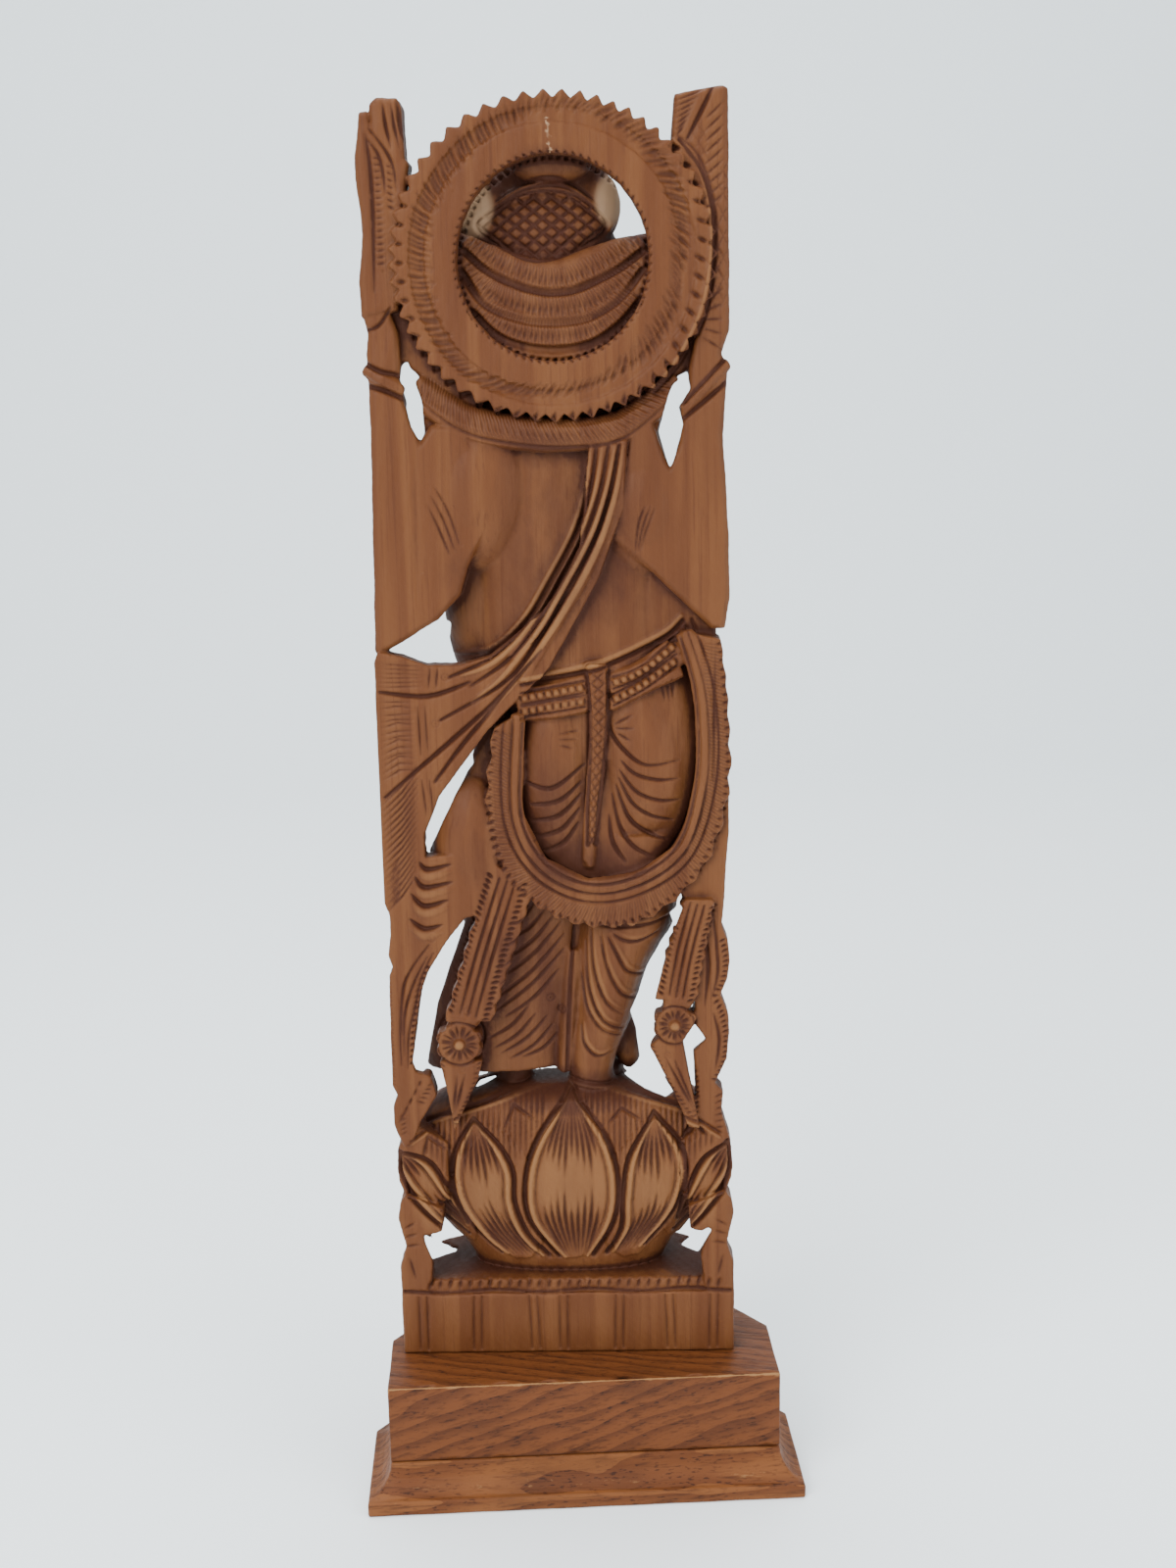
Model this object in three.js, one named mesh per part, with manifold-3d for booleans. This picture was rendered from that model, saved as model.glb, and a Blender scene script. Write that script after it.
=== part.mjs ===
// A standing Ganesha carved from one board of wood, on a plinth of two glued boards.
// Millimetres, +Z up, origin at the middle of the plinth's underside, the figure's front towards -Y.
//
// The carving is laid out as it is seen from behind: u runs to the right, d runs from the back
// face of the board into the wood, and h is the height above the plinth. [u, d, h] is one point.

import * as THREE from "three";
import { mergeVertices } from "three/addons/utils/BufferGeometryUtils.js";
import Module from "manifold-3d";

const wasm = await Module();
wasm.setup();

// The board that the figure was carved from.
const BOARD_WIDTH = 103.6;
const BOARD_DEPTH = 40;
const BOARD_HEIGHT = 375.6;
const HALF = BOARD_WIDTH / 2;

// The plinth: an upper board, and a coved foot board that stands out all round it.
const PLINTH_WIDTH = 120;
const PLINTH_DEPTH = 66;
const PLINTH_SIDE = 30; // straight side, from the back edge to the cut-off front corner
const PLINTH_CHAMFER = 26; // how far each front corner is cut off across the width
const TOP_BOARD_HEIGHT = 24.5;
const FOOT_HEIGHT = 13.8;
const FOOT_EDGE = 4.5; // upright edge of the foot board, under its cove
const FOOT_PROUD = 7; // how far the foot board stands out past the upper board
const FIGURE_SET_BACK = 18; // from the plinth's back edge to the back of the figure
const FIGURE_SKEW = THREE.MathUtils.degToRad(3.5); // the figure was glued on a little askew
const FIGURE_OFF_CENTRE = -4.3;
const JOINT_GAP = 0.3;

// Levels of the carving above the plinth.
const BASE_TOP = 24;
const LOTUS_TOP = 84;
const HALO_CENTRE = { u: 2.7, h: 331 };
const HALO_RADIUS = { u: 45.6, h: 44.5 };
const HALO_TEETH = 54;
const HALO_TOOTH = 2.5;
const HALO_OPENING = { u: 27, h: 28 };

// The openings were cut from behind, and widen a little away from this far point.
const CUT_FROM = { u: 20, d: 533, h: 299 };

// Facets smaller than this are merged into their neighbours.
const FINEST_DETAIL = 0.52;

const v3 = (u, d, h) => new THREE.Vector3(u, d, h);

/** A closed triangle mesh as a solid, turned the right way out. */
function solidFrom(geometry) {
  const bare = geometry.index ? geometry.toNonIndexed() : geometry.clone();
  bare.deleteAttribute("normal");
  bare.deleteAttribute("uv");
  const merged = mergeVertices(bare, 1e-4);
  const vertProperties = new Float32Array(merged.attributes.position.array);
  const triVerts = new Uint32Array(merged.index.array);
  const make = () => new wasm.Manifold(new wasm.Mesh({ numProp: 3, vertProperties, triVerts }));
  const first = make();
  if (first.volume() > 0) return first;
  for (let i = 0; i < triVerts.length; i += 3)
    [triVerts[i + 1], triVerts[i + 2]] = [triVerts[i + 2], triVerts[i + 1]];
  return make();
}

const joined = (solids) => solids.reduce((whole, solid) => whole.add(solid));

/** The wood without the sealed pockets that are left where rounded forms meet. */
const withoutPockets = (solid) =>
  joined(solid.decompose().filter((shell) => shell.volume() > 0));

/** A solid skinned over rings of points, closed at both ends. */
function skin(rings) {
  const sides = rings[0].length;
  const middle = (ring) => ring.reduce((sum, p) => sum.add(p), v3(0, 0, 0)).divideScalar(sides);
  const positions = [];
  const face = (...points) => points.forEach((p) => positions.push(p.x, p.y, p.z));
  for (let i = 0; i + 1 < rings.length; i++)
    for (let k = 0; k < sides; k++) {
      const [a, b] = [rings[i][k], rings[i][(k + 1) % sides]];
      const [c, e] = [rings[i + 1][k], rings[i + 1][(k + 1) % sides]];
      face(a, b, e);
      face(a, e, c);
    }
  const [first, last] = [rings[0], rings.at(-1)];
  const [start, end] = [middle(first), middle(last)];
  for (let k = 0; k < sides; k++) {
    const next = (k + 1) % sides;
    face(start, first[next], first[k]);
    face(end, last[k], last[next]);
  }
  const geometry = new THREE.BufferGeometry();
  geometry.setAttribute("position", new THREE.Float32BufferAttribute(positions, 3));
  return solidFrom(geometry);
}

/** One level ring: an oval of half-widths ru and rd, squarer as the power grows. */
function ovalRing(u, d, h, ru, rd, power, sides) {
  return Array.from({ length: sides }, (_, k) => {
    const angle = (k / sides) * Math.PI * 2;
    const [c, s] = [Math.cos(angle), Math.sin(angle)];
    const squared = (value) => Math.sign(value) * Math.abs(value) ** (2 / power);
    return v3(u + ru * squared(c), d + rd * squared(s), h);
  });
}

/** A body stacked from level rings, each [h, u, d, ru, rd]. */
const stack = (levels, sides = 16, power = 2) =>
  skin(levels.map(([h, u, d, ru, rd]) => ovalRing(u, d, h, ru, rd, power, sides)));

/** An egg with its centre and half-sizes, each [u, d, h], turned by lean degrees in the back view. */
function egg([u, d, h], [ru, rd, rh], lean = 0, sides = 10) {
  const geometry = new THREE.SphereGeometry(1, sides, Math.round(sides * 0.55));
  geometry.rotateX(Math.PI / 2).scale(ru, rd, rh);
  geometry.rotateY(THREE.MathUtils.degToRad(lean)).translate(u, d, h);
  return solidFrom(geometry);
}

/** A rounded limb or roll along stations, each [u, d, h, half-width, half-thickness]. */
function limb(stations, sides = 8, between = 2) {
  const path = new THREE.CatmullRomCurve3(stations.map(([u, d, h]) => v3(u, d, h)));
  const steps = (stations.length - 1) * between;
  const rings = [];
  let across = null;
  for (let i = 0; i <= steps; i++) {
    const at = i / between;
    const low = Math.min(Math.floor(at), stations.length - 2);
    const share = at - low;
    const size = (n) => stations[low][n] * (1 - share) + stations[low + 1][n] * share;
    const [point, tangent] = [path.getPoint(i / steps), path.getTangent(i / steps)];
    const guide = across ?? new THREE.Vector3().crossVectors(tangent, v3(0, 1, 0.001));
    const deep = new THREE.Vector3().crossVectors(guide, tangent).normalize();
    across = new THREE.Vector3().crossVectors(tangent, deep).normalize();
    const sideways = across.clone();
    rings.push(
      Array.from({ length: sides }, (_, k) => {
        const angle = (k / sides) * Math.PI * 2;
        return point
          .clone()
          .addScaledVector(sideways, Math.cos(angle) * size(3))
          .addScaledVector(deep, Math.sin(angle) * size(4));
      }),
    );
  }
  return skin(rings);
}

/** Points on a smooth closed line through the given [u, h] points. */
function smoothLine(points, count, closed = true) {
  const line = new THREE.CatmullRomCurve3(
    points.map(([u, h]) => v3(u, h, 0)),
    closed,
    "centripetal",
  );
  return line.getPoints(count).map((p) => new THREE.Vector2(p.x, p.y));
}

/** A plate with the outline seen from behind, from depth back to depth front, edges eased. */
function plate(points, back, front, ease = 0) {
  const outline = points.map((p) => (p.isVector2 ? p : new THREE.Vector2(...p)));
  if (outline[0].distanceTo(outline.at(-1)) < 1e-6) outline.pop();
  const geometry = new THREE.ExtrudeGeometry(new THREE.Shape(outline), {
    depth: front - back - 2 * ease,
    bevelEnabled: ease > 0,
    bevelThickness: ease,
    bevelSize: ease,
    bevelOffset: -ease,
    bevelSegments: 1,
    steps: 1,
  });
  geometry.translate(0, 0, ease).rotateX(Math.PI / 2).scale(1, -1, 1);
  return solidFrom(geometry.translate(0, back, 0));
}

/** A plate whose outline is a smooth line through its points. */
const softPlate = (points, back, front, ease = 0, count = points.length * 3) =>
  plate(smoothLine(points, count), back, front, ease);

/** Points round an oval, with the radius changed by shape(t), t from 0 to 1. */
const ovalPoints = ({ u, h }, ru, rh, count, shape = () => 0) =>
  Array.from({ length: count }, (_, k) => {
    const t = k / count;
    const angle = t * Math.PI * 2;
    const more = shape(t, k);
    return new THREE.Vector2(u + (ru + more) * Math.cos(angle), h + (rh + more) * Math.sin(angle));
  });

/** A flower in low relief: a disc with petals round its rim. */
function rosette(u, h, radius, back, front) {
  const petals = 8;
  const edge = ovalPoints({ u, h }, radius, radius, petals * 3, (_, k) => (k % 3 === 0 ? -1 : 0.3));
  return plate(edge, back, front).add(egg([u, back, h], [1.9, 1.2, 1.9], 0, 8));
}

/** The foot of the carving: flat behind, rounded in front, with a notched band along its top. */
function basePlatform() {
  const sideDepth = 14;
  const plan = new THREE.Shape();
  plan.moveTo(-HALF + 0.3, 0);
  plan.lineTo(HALF, 0);
  plan.lineTo(HALF, sideDepth);
  plan.bezierCurveTo(HALF, 32, 24, BOARD_DEPTH, 0, BOARD_DEPTH);
  plan.bezierCurveTo(-24, BOARD_DEPTH, -HALF + 0.3, 32, -HALF + 0.3, sideDepth);
  const block = solidFrom(
    new THREE.ExtrudeGeometry(plan, { depth: 20.4, bevelEnabled: false, curveSegments: 10 }),
  );
  const tablet = solidFrom(
    new THREE.ExtrudeGeometry(plan, { depth: BASE_TOP - 19, bevelEnabled: false, curveSegments: 10 })
      .scale(0.975, 0.96, 1)
      .translate(0, 0.9, 19),
  );
  const notches = Array.from({ length: 15 }, (_, k) => {
    const u = -42 + k * 6;
    return plate(
      [
        [u - 0.9, BASE_TOP + 1],
        [u, BASE_TOP - 2.6],
        [u + 0.9, BASE_TOP + 1],
      ],
      -1,
      1.8,
    );
  });
  return block.add(tablet).subtract(joined(notches));
}

/** The two little posts that tie the rim of the lotus to the ends of the base. */
function endPosts() {
  const outline = [
    [-51.4, 19],
    [-51.5, 29.5],
    [-50.2, 32.6],
    [-49.4, 36.2],
    [-50.5, 40],
    [-51.5, 45.5],
    [-50.7, 50.5],
    [-49, 53],
    [-38, 48],
    [-38.5, 41],
    [-43.6, 39.8],
    [-42.8, 36],
    [-41.6, 32],
    [-43, 19],
  ];
  const right = outline.map(([u, h]) => [-u + 0.4, h]).reverse();
  return plate(outline, 0, 9).add(plate(right, 0, 9));
}

/** The lotus bowl, larger all round by grow, which is how its petals are raised. */
const lotusBowl = (grow) => {
  const levels = [
    [22, 28, 12],
    [34, 35, 15.5],
    [47, 45.5, 18],
    [58, 49, 18.6],
    [68, 48.6, 18],
    [76, 44, 16.2],
    [81, 33, 13],
    [LOTUS_TOP, 12, 6],
  ];
  return stack(
    levels.map(([h, ru, rd]) => [h, 0.6, 20, ru + grow, rd + grow]),
    20,
    2.4,
  );
};

/** A petal outline with its tip, belly and foot, leaning between them. */
function petalLine(foot, tip, footHeight, tipHeight, halfWidth) {
  const side = (sign) =>
    [
      [0.05, 0.24],
      [0.25, 0.78],
      [0.5, 1],
      [0.75, 0.78],
      [0.92, 0.32],
    ].map(([t, w]) => [
      foot + (tip - foot) * t + sign * halfWidth * w,
      footHeight + (tipHeight - footHeight) * t,
    ]);
  return [...side(1), [tip, tipHeight], ...side(-1).reverse()];
}

function lotus() {
  const petals = [
    petalLine(2, 3, 27, 85, 13.6),
    petalLine(-14, -23, 27, 75, 13.8),
    petalLine(19, 27.5, 27, 76, 13),
    petalLine(-30, -50, 32, 70, 9),
    petalLine(33, 51.5, 32, 71, 9),
  ];
  const behind = petals.map((line) => softPlate(line, -3, 19, 0, 14));
  const before = petals.map((line) =>
    softPlate(
      line.map(([u, h]) => [-u + 1.2, h]),
      21,
      44,
      0,
      14,
    ),
  );
  const raised = lotusBowl(1.3).intersect(joined([...behind, ...before]));
  const lobe = [
    [-49.6, 69.6],
    [-51.3, 66.4],
    [-51.7, 60],
    [-51.2, 56],
    [-50, 52.4],
    [-44, 46],
    [-36, 50],
    [-36, 68],
    [-45, 74],
  ];
  const across = lobe.map(([u, h]) => [-u + 0.1, h]).reverse();
  const ends = [plate(lobe, 3, 17, 1.4), plate(across, 3, 17, 1.4)];
  return joined([lotusBowl(0), raised, ...ends]);
}

/** The straight leg, the bent leg under its pleated cloth, and the feet on the lotus. */
function legs() {
  const straight = stack([
    [80, 8.8, 19, 8, 9],
    [87, 8.6, 18, 6.6, 8],
    [95, 9.6, 17.5, 7.4, 8.5],
    [106, 12.8, 17, 8.8, 10],
    [120, 15.4, 16.6, 10.2, 11],
    [129, 17.8, 16.7, 12.6, 11.8],
    [138, 20.4, 16.8, 14.6, 12.5],
    [165, 22, 18, 17, 14],
  ]);
  const pleated = stack([
    [89.5, -21.4, 18, 21, 8],
    [100, -20.5, 18, 21.5, 8.5],
    [118, -16.4, 18, 21.2, 9],
    [138, -10.6, 18, 18.6, 10],
    [165, -4, 18, 16, 12],
  ]);
  const ankle = limb([
    [-14, 22, 96, 6, 6],
    [-15, 22, 86, 5, 5.5],
    [-16, 24, 80, 6, 7],
  ]);
  const feet = [
    egg([12, 29, 84], [6.5, 10.5, 4.5]),
    egg([-18, 29, 84], [6.5, 10.5, 4.5]),
    egg([19.4, 24, 96], [4.6, 6, 10.5], -8, 10),
  ];
  const cloth = [-1, 1].map((side) =>
    limb(
      [
        [2, 32, 178, 5, 3],
        [2 + side * 3, 34, 150, 6, 3.5],
        [2 + side * 5, 33, 122, 7, 3.5],
        [2 + side * 7, 31, 100, 8, 3],
      ],
      8,
    ),
  );
  return [straight, pleated, ankle, ...feet, ...cloth];
}

/** The hips, with the cloth drawn tight over them, and the strap between. */
function hips() {
  const mass = stack([
    [140, 9, 19, 22, 11],
    [155, 11, 19, 28, 13.5],
    [180, 12.5, 20, 32, 15],
    [205, 12, 20, 31, 15.5],
    [225, 9, 20, 30, 15],
  ]);
  const left = egg([-0.5, 11, 186], [11.5, 8.6, 24], 4);
  const right = egg([26, 11, 189], [14.5, 9.4, 25], -5);
  const strap = limb(
    [
      [13, 3.2, 217, 3, 2],
      [13, 2.6, 196, 2.6, 2],
      [11, 3, 176, 2.3, 2],
      [9.4, 5, 158, 2, 2],
    ],
    8,
  );
  const cloth = softPlate(
    [
      [-14, 203],
      [-23.5, 193],
      [-25.2, 186.7],
      [-29.2, 179.4],
      [-36.6, 164.6],
      [-38.4, 160],
      [-30, 154],
      [-12, 154],
      [-8, 180],
    ],
    8,
    20,
    1.6,
    20,
  );
  return [mass, left, right, strap, cloth];
}

/** The belt over the hips: two rows on each side of the strap. */
function belt() {
  const row = (points, radius) =>
    limb(
      points.map(([u, h, d]) => [u, d, h, radius, radius]),
      6,
    );
  return [
    row(
      [
        [-13, 206, 7],
        [0, 208, 3.4],
        [10, 209.5, 4.2],
      ],
      1.9,
    ),
    row(
      [
        [-12, 201.5, 7],
        [0, 203, 3.2],
        [10, 204.5, 4.2],
      ],
      1.7,
    ),
    row(
      [
        [16, 211, 4],
        [27, 216.5, 3.2],
        [37, 221.5, 5],
      ],
      2,
    ),
    row(
      [
        [16, 204.5, 4],
        [27, 210.5, 2.6],
        [37.5, 214.5, 4.4],
      ],
      1.8,
    ),
  ];
}

/** The fringed loop of cloth that hangs round the hips, and the cord along its inner edge. */
function hangingLoop() {
  const outer = [
    [48.8, 224],
    [50.6, 205],
    [50.8, 180],
    [43, 156],
    [27, 141],
    [11.5, 138.4],
    [-3, 143],
    [-15.6, 155.5],
    [-20, 176],
    [-17.4, 199],
  ];
  const inner = [
    [-10, 203],
    [-11.2, 173],
    [-4.4, 158],
    [8.6, 151],
    [23.5, 153],
    [36.5, 163],
    [42.4, 184],
    [42, 208],
    [37, 226.5],
  ];
  const scallops = 24;
  const fringe = smoothLine(outer, scallops * 2, false).map((p, k) => {
    const out = new THREE.Vector2(p.x - 14, (p.y - 185) * 0.8).normalize();
    return p.clone().addScaledVector(out, (k % 2 ? 0.7 : -0.6) * (p.y < 195 ? 1 : 0.4));
  });
  const band = plate([...fringe, ...smoothLine(inner, 18, false)], 1.4, 12);
  const cord = limb(
    inner.map(([u, h]) => [u * 1.05, 2.2, h, 1.9, 2.2]),
    6,
    1,
  );
  return [band, cord];
}

/** The bare back and the great belly in front. */
function torso() {
  const trunk = stack(
    [
      [205, 9, 21, 31, 15],
      [222, 7.5, 20.5, 31.5, 15.5],
      [240, 7, 20, 31, 15],
      [258, 5, 19.5, 32, 13.8],
      [274, 2.4, 19, 36, 12.5],
      [284, 2, 19, 35, 11.5],
      [294, 2, 19, 26, 10],
      [304, 2, 19, 18, 9],
    ],
    18,
    2.5,
  );
  const belly = egg([5, 24, 232], [27, 16, 25], 0, 12);
  const navelBand = limb(
    [
      [-23, 28, 222, 1.6, 1.6],
      [-8, 38.4, 214, 1.6, 1.6],
      [12, 39, 213, 1.6, 1.6],
      [30, 30, 221, 1.6, 1.6],
    ],
    6,
  );
  const flanks = [egg([-21, 22, 238], [11.5, 11, 31]), egg([32, 22, 238], [14.5, 11, 30])];
  const waist = plate(
    [
      [28, 244],
      [26, 222],
      [47.6, 219],
      [47.6, 231],
    ],
    7,
    17,
    1.2,
  );
  return [trunk, belly, navelBand, ...flanks, waist];
}

/** The rear arm on the left of the back view: upper arm, raised forearm, bangle and hand. */
function rearArmLeft() {
  const arm = [
    [-24, 286],
    [-33, 286],
    [-35, 283],
    [-36.2, 281],
    [-38.4, 286],
    [-40.6, 293],
    [-41.6, 298],
    [-41, 303],
    [-41.4, 312],
    [-45, 322],
    [-51, 322],
    [-50.8, 317],
    [-49.4, 311.8],
    [-50.3, 306],
    [-49.9, 296],
    [-50.1, 280],
    [-50.4, 262],
    [-51.2, 240],
    [-51.4, 221.8],
    [-50.2, 220.8],
    [-44.8, 223.8],
    [-33, 231],
    [-26.4, 238],
    [-24, 246],
    [-19.7, 253.4],
    [-14, 262],
  ];
  const bangle = limb(
    [
      [-51, 5, 302, 1.7, 1.7],
      [-46, 2.6, 299, 2, 1.7],
      [-40.2, 4.6, 296, 1.8, 1.7],
    ],
    6,
  );
  const shoulder = [
    [-20, 284],
    [-35, 284],
    [-36, 300],
    [-44, 306],
    [-44, 322],
    [-34, 327],
    [-16, 302],
  ];
  return [plate(arm, 3, 15, 1.2), plate(shoulder, 6.6, 18, 1.2), bangle];
}

/** The rear arm on the right of the back view. */
function rearArmRight() {
  const arm = [
    [24, 286],
    [17.8, 253.2],
    [30, 243],
    [46.4, 227],
    [50, 227.2],
    [51.4, 236],
    [51.3, 252],
    [50.4, 268],
    [49.7, 282],
    [50.6, 293],
    [50.9, 299],
    [49.4, 304.8],
    [51.5, 310],
    [43, 313],
    [40.4, 300],
    [40.2, 295],
    [37.6, 290],
    [38.2, 285],
    [37.4, 280],
    [34.7, 272.6],
    [33, 276],
    [31.4, 281],
    [30, 286],
  ];
  const bangle = limb(
    [
      [51, 5, 302, 1.8, 1.8],
      [45, 2.8, 296, 2.1, 1.8],
      [38.6, 4.6, 289.6, 1.9, 1.8],
    ],
    6,
  );
  const shoulder = [
    [22, 284],
    [32, 281],
    [36, 298],
    [43, 302],
    [45, 322],
    [36, 327],
    [20, 302],
  ];
  return [plate(arm, 3, 15, 1.2), plate(shoulder, 6.6, 18, 1.2), bangle];
}

/** What the rear hands hold up: a bud between two leaves, and a broad blade. */
function heldThings() {
  const bud = [
    [-51, 316],
    [-51.2, 326],
    [-49.8, 338.5],
    [-50, 343],
    [-51, 353],
    [-51, 359],
    [-50.3, 366],
    [-49.4, 370.6],
    [-47.2, 370.8],
    [-46, 364.6],
    [-46.4, 372.6],
    [-44.6, 374.4],
    [-39, 374],
    [-38, 372],
    [-37.6, 358.4],
    [-36.4, 357],
    [-37.6, 348],
    [-39, 330],
    [-41, 318],
  ];
  const slit = [
    [-43.2, 354],
    [-42.4, 340],
    [-42, 339],
    [-41.6, 342],
    [-42.4, 351],
  ];
  const blade = [
    [37, 373.6],
    [50, BOARD_HEIGHT],
    [51.4, 374.8],
    [51.7, 340],
    [51.8, 322],
    [51.6, 311],
    [49.3, 304.6],
    [43, 306],
    [40, 330],
    [36, 356],
  ];
  return [plate(bud, 2.3, 13, 1).subtract(plate(slit, -1, 20)), plate(blade, 2.6, 13, 1)];
}

/** The halo behind the head: a ring with a toothed rim and a raised inner edge. */
function halo() {
  const toothed = Array.from({ length: HALO_TEETH * 2 }, (_, k) => {
    const even = ((k / HALO_TEETH) * 180 + 92) * (Math.PI / 180);
    const angle = even + 0.04 * (1 - Math.cos(3 * (even - 1.6)));
    const cut = k % 2 === 0 ? 0 : HALO_TOOTH;
    return new THREE.Vector2(
      HALO_CENTRE.u + (HALO_RADIUS.u - cut) * Math.cos(angle),
      HALO_CENTRE.h + (HALO_RADIUS.h - cut) * Math.sin(angle),
    );
  });
  const opening = plate(
    ovalPoints(HALO_CENTRE, HALO_OPENING.u, HALO_OPENING.h, 32),
    -2,
    12,
  );
  const ring = plate(toothed, 0.6, 8);
  const groove = plate(ovalPoints(HALO_CENTRE, 40.2, 40.2, 36), -1, 1.4).subtract(
    plate(ovalPoints(HALO_CENTRE, 35.8, 35.8, 36), -2, 2),
  );
  return ring.subtract(groove).subtract(opening);
}

/** The back of the head and crown, the tiers of hair under it, and the collar on the shoulders. */
function headFromBehind() {
  const skull = egg([0.5, 25, 334], [20, 12.5, 17], 0, 12);
  const earBacks = [egg([-18, 20, 345], [8.6, 6, 11]), egg([15.6, 21, 346], [6, 5.6, 9.4])];
  const cap = egg([-0.5, 18.6, 340], [17, 6, 10.5], 0, 12);
  const brow = limb(
    [
      [-18, 19, 341, 2, 2],
      [-9, 15.4, 348.6, 2.2, 2.2],
      [0, 14.4, 351, 2.4, 2.4],
      [10, 15.4, 348.4, 2.2, 2.2],
      [19, 19, 340, 2, 2],
    ],
    6,
  );
  const crown = stack([
    [344, 1, 24, 19, 10],
    [352, 1.6, 24, 18, 9.6],
    [358, 2.2, 23, 14, 9],
    [364, 2.6, 22.5, 9, 7],
    [370, 2.8, 22, 4, 4],
    [373, 2.8, 22, 1.4, 1.4],
  ]);
  const knot = egg([2.4, 13.4, 357], [11, 6, 4.6], 0, 12);
  const tiers = [
    [-22.5, 336, 1, 323.4, 28, 335, 11],
    [-22.6, 329, 1.6, 315, 28, 329.6, 9.2],
    [-20, 320, 2.4, 307.6, 26.6, 321, 7.4],
  ].map(([leftU, leftH, midU, midH, rightU, rightH, d]) =>
    limb(
      [
        [leftU, d + 1.4, leftH, 3, 4],
        [leftU * 0.5, d + 0.2, midH + 2.2, 5.2, 4.4],
        [midU, d, midH, 5.4, 4.6],
        [rightU * 0.55, d + 0.2, midH + 2.4, 5.2, 4.4],
        [rightU, d + 1.4, rightH, 3, 4],
      ],
      8,
    ),
  );
  const nape = egg([2.4, 19, 312], [27, 10, 19], 0, 12);
  const collar = limb(
    [
      [-37, 8, 294, 3.2, 3.4],
      [-24, 5.6, 286, 3.8, 3.6],
      [-8, 4.8, 282.6, 4, 3.6],
      [7, 4.6, 282, 4, 3.6],
      [22, 4.8, 284.4, 4, 3.6],
      [38, 7.4, 295, 3.2, 3.4],
    ],
    8,
  );
  return [skull, ...earBacks, cap, brow, crown, knot, ...tiers, nape, collar];
}

/** The elephant's face in front: brow, cheeks, trunk, tusks and ears. */
function face() {
  const brow = [-1, 1].map((side) => egg([0.6 + side * 6.5, 31, 341], [8, 6.5, 8], 0, 10));
  const cheeks = [-1, 1].map((side) => egg([0.6 + side * 8.5, 31, 326], [7.5, 6.5, 8.5], 0, 10));
  const trunk = limb(
    [
      [0.8, 32, 334, 8, 6],
      [1, 35.4, 322, 6.8, 5],
      [1.8, 36.4, 308, 5.8, 4.4],
      [2.2, 36, 294, 5, 4],
      [0, 36, 281, 4.4, 3.8],
      [-6, 36.4, 271, 3.8, 3.4],
      [-14, 36.6, 267, 3.2, 3],
      [-19.4, 36.4, 271, 2.6, 2.6],
      [-18.6, 36, 276.4, 2, 2],
    ],
    8,
    1,
  );
  const tusks = [-1, 1].map((side) =>
    limb(
      [
        [0.8 + side * 7, 30, 322, 2.2, 2.2],
        [0.8 + side * 9.6, 37, 311, 1.7, 1.7],
        [0.8 + side * 11, 38.6, side > 0 ? 308 : 305, 0.9, 0.9],
      ],
      6,
    ),
  );
  const ears = [-1, 1].map((side) => {
    const line = [
      [12, 337],
      [22, 336.4],
      [29, 330],
      [30, 320],
      [26, 309],
      [20, 303],
      [15, 306],
      [12, 316],
    ].map(([u, h]) => [0.8 + side * u, h]);
    return softPlate(side > 0 ? line : line.reverse(), 22, 29, 1.4, 12);
  });
  const eyes = [-1, 1].map((side) => egg([0.8 + side * 9, 36, 333.4], [2, 1.8, 1.4], 0, 8));
  return [...brow, ...cheeks, trunk, ...tusks, ...ears, ...eyes];
}

/** The two arms that are carried in front, one hand raised open, the other with a bowl of sweets. */
function frontArms() {
  const raised = limb([
    [27, 21, 270, 8.4, 8],
    [34, 22, 254, 7.4, 7.4],
    [38.6, 25, 238, 6.6, 6.6],
    [38, 31, 236, 5.4, 5.4],
    [35.4, 34.6, 245, 4.6, 4.4],
    [33.6, 36, 251, 4, 3.4],
  ]);
  const openHand = plate(
    [
      [28.6, 250],
      [28, 259],
      [29, 267],
      [32, 269.4],
      [36.4, 269],
      [38.6, 266],
      [39.2, 258],
      [38.2, 250],
    ],
    34.6,
    39,
    1.1,
  );
  const lowered = limb([
    [-28, 20, 276, 8.4, 8],
    [-32, 22, 262, 7, 7],
    [-33, 25, 248, 6.2, 6.2],
    [-28, 31, 243, 5.2, 5.2],
    [-20, 35, 246, 4.4, 4],
  ]);
  const bowl = egg([-17, 36, 249], [7, 4.6, 4.6], 0, 12);
  const sweets = [
    [-20, 253],
    [-14.4, 253],
    [-17, 256.6],
  ].map(([u, h]) => egg([u, 36, h], [2.8, 2.8, 2.8], 0, 8));
  return [raised, openHand, lowered, bowl, ...sweets];
}

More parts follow.
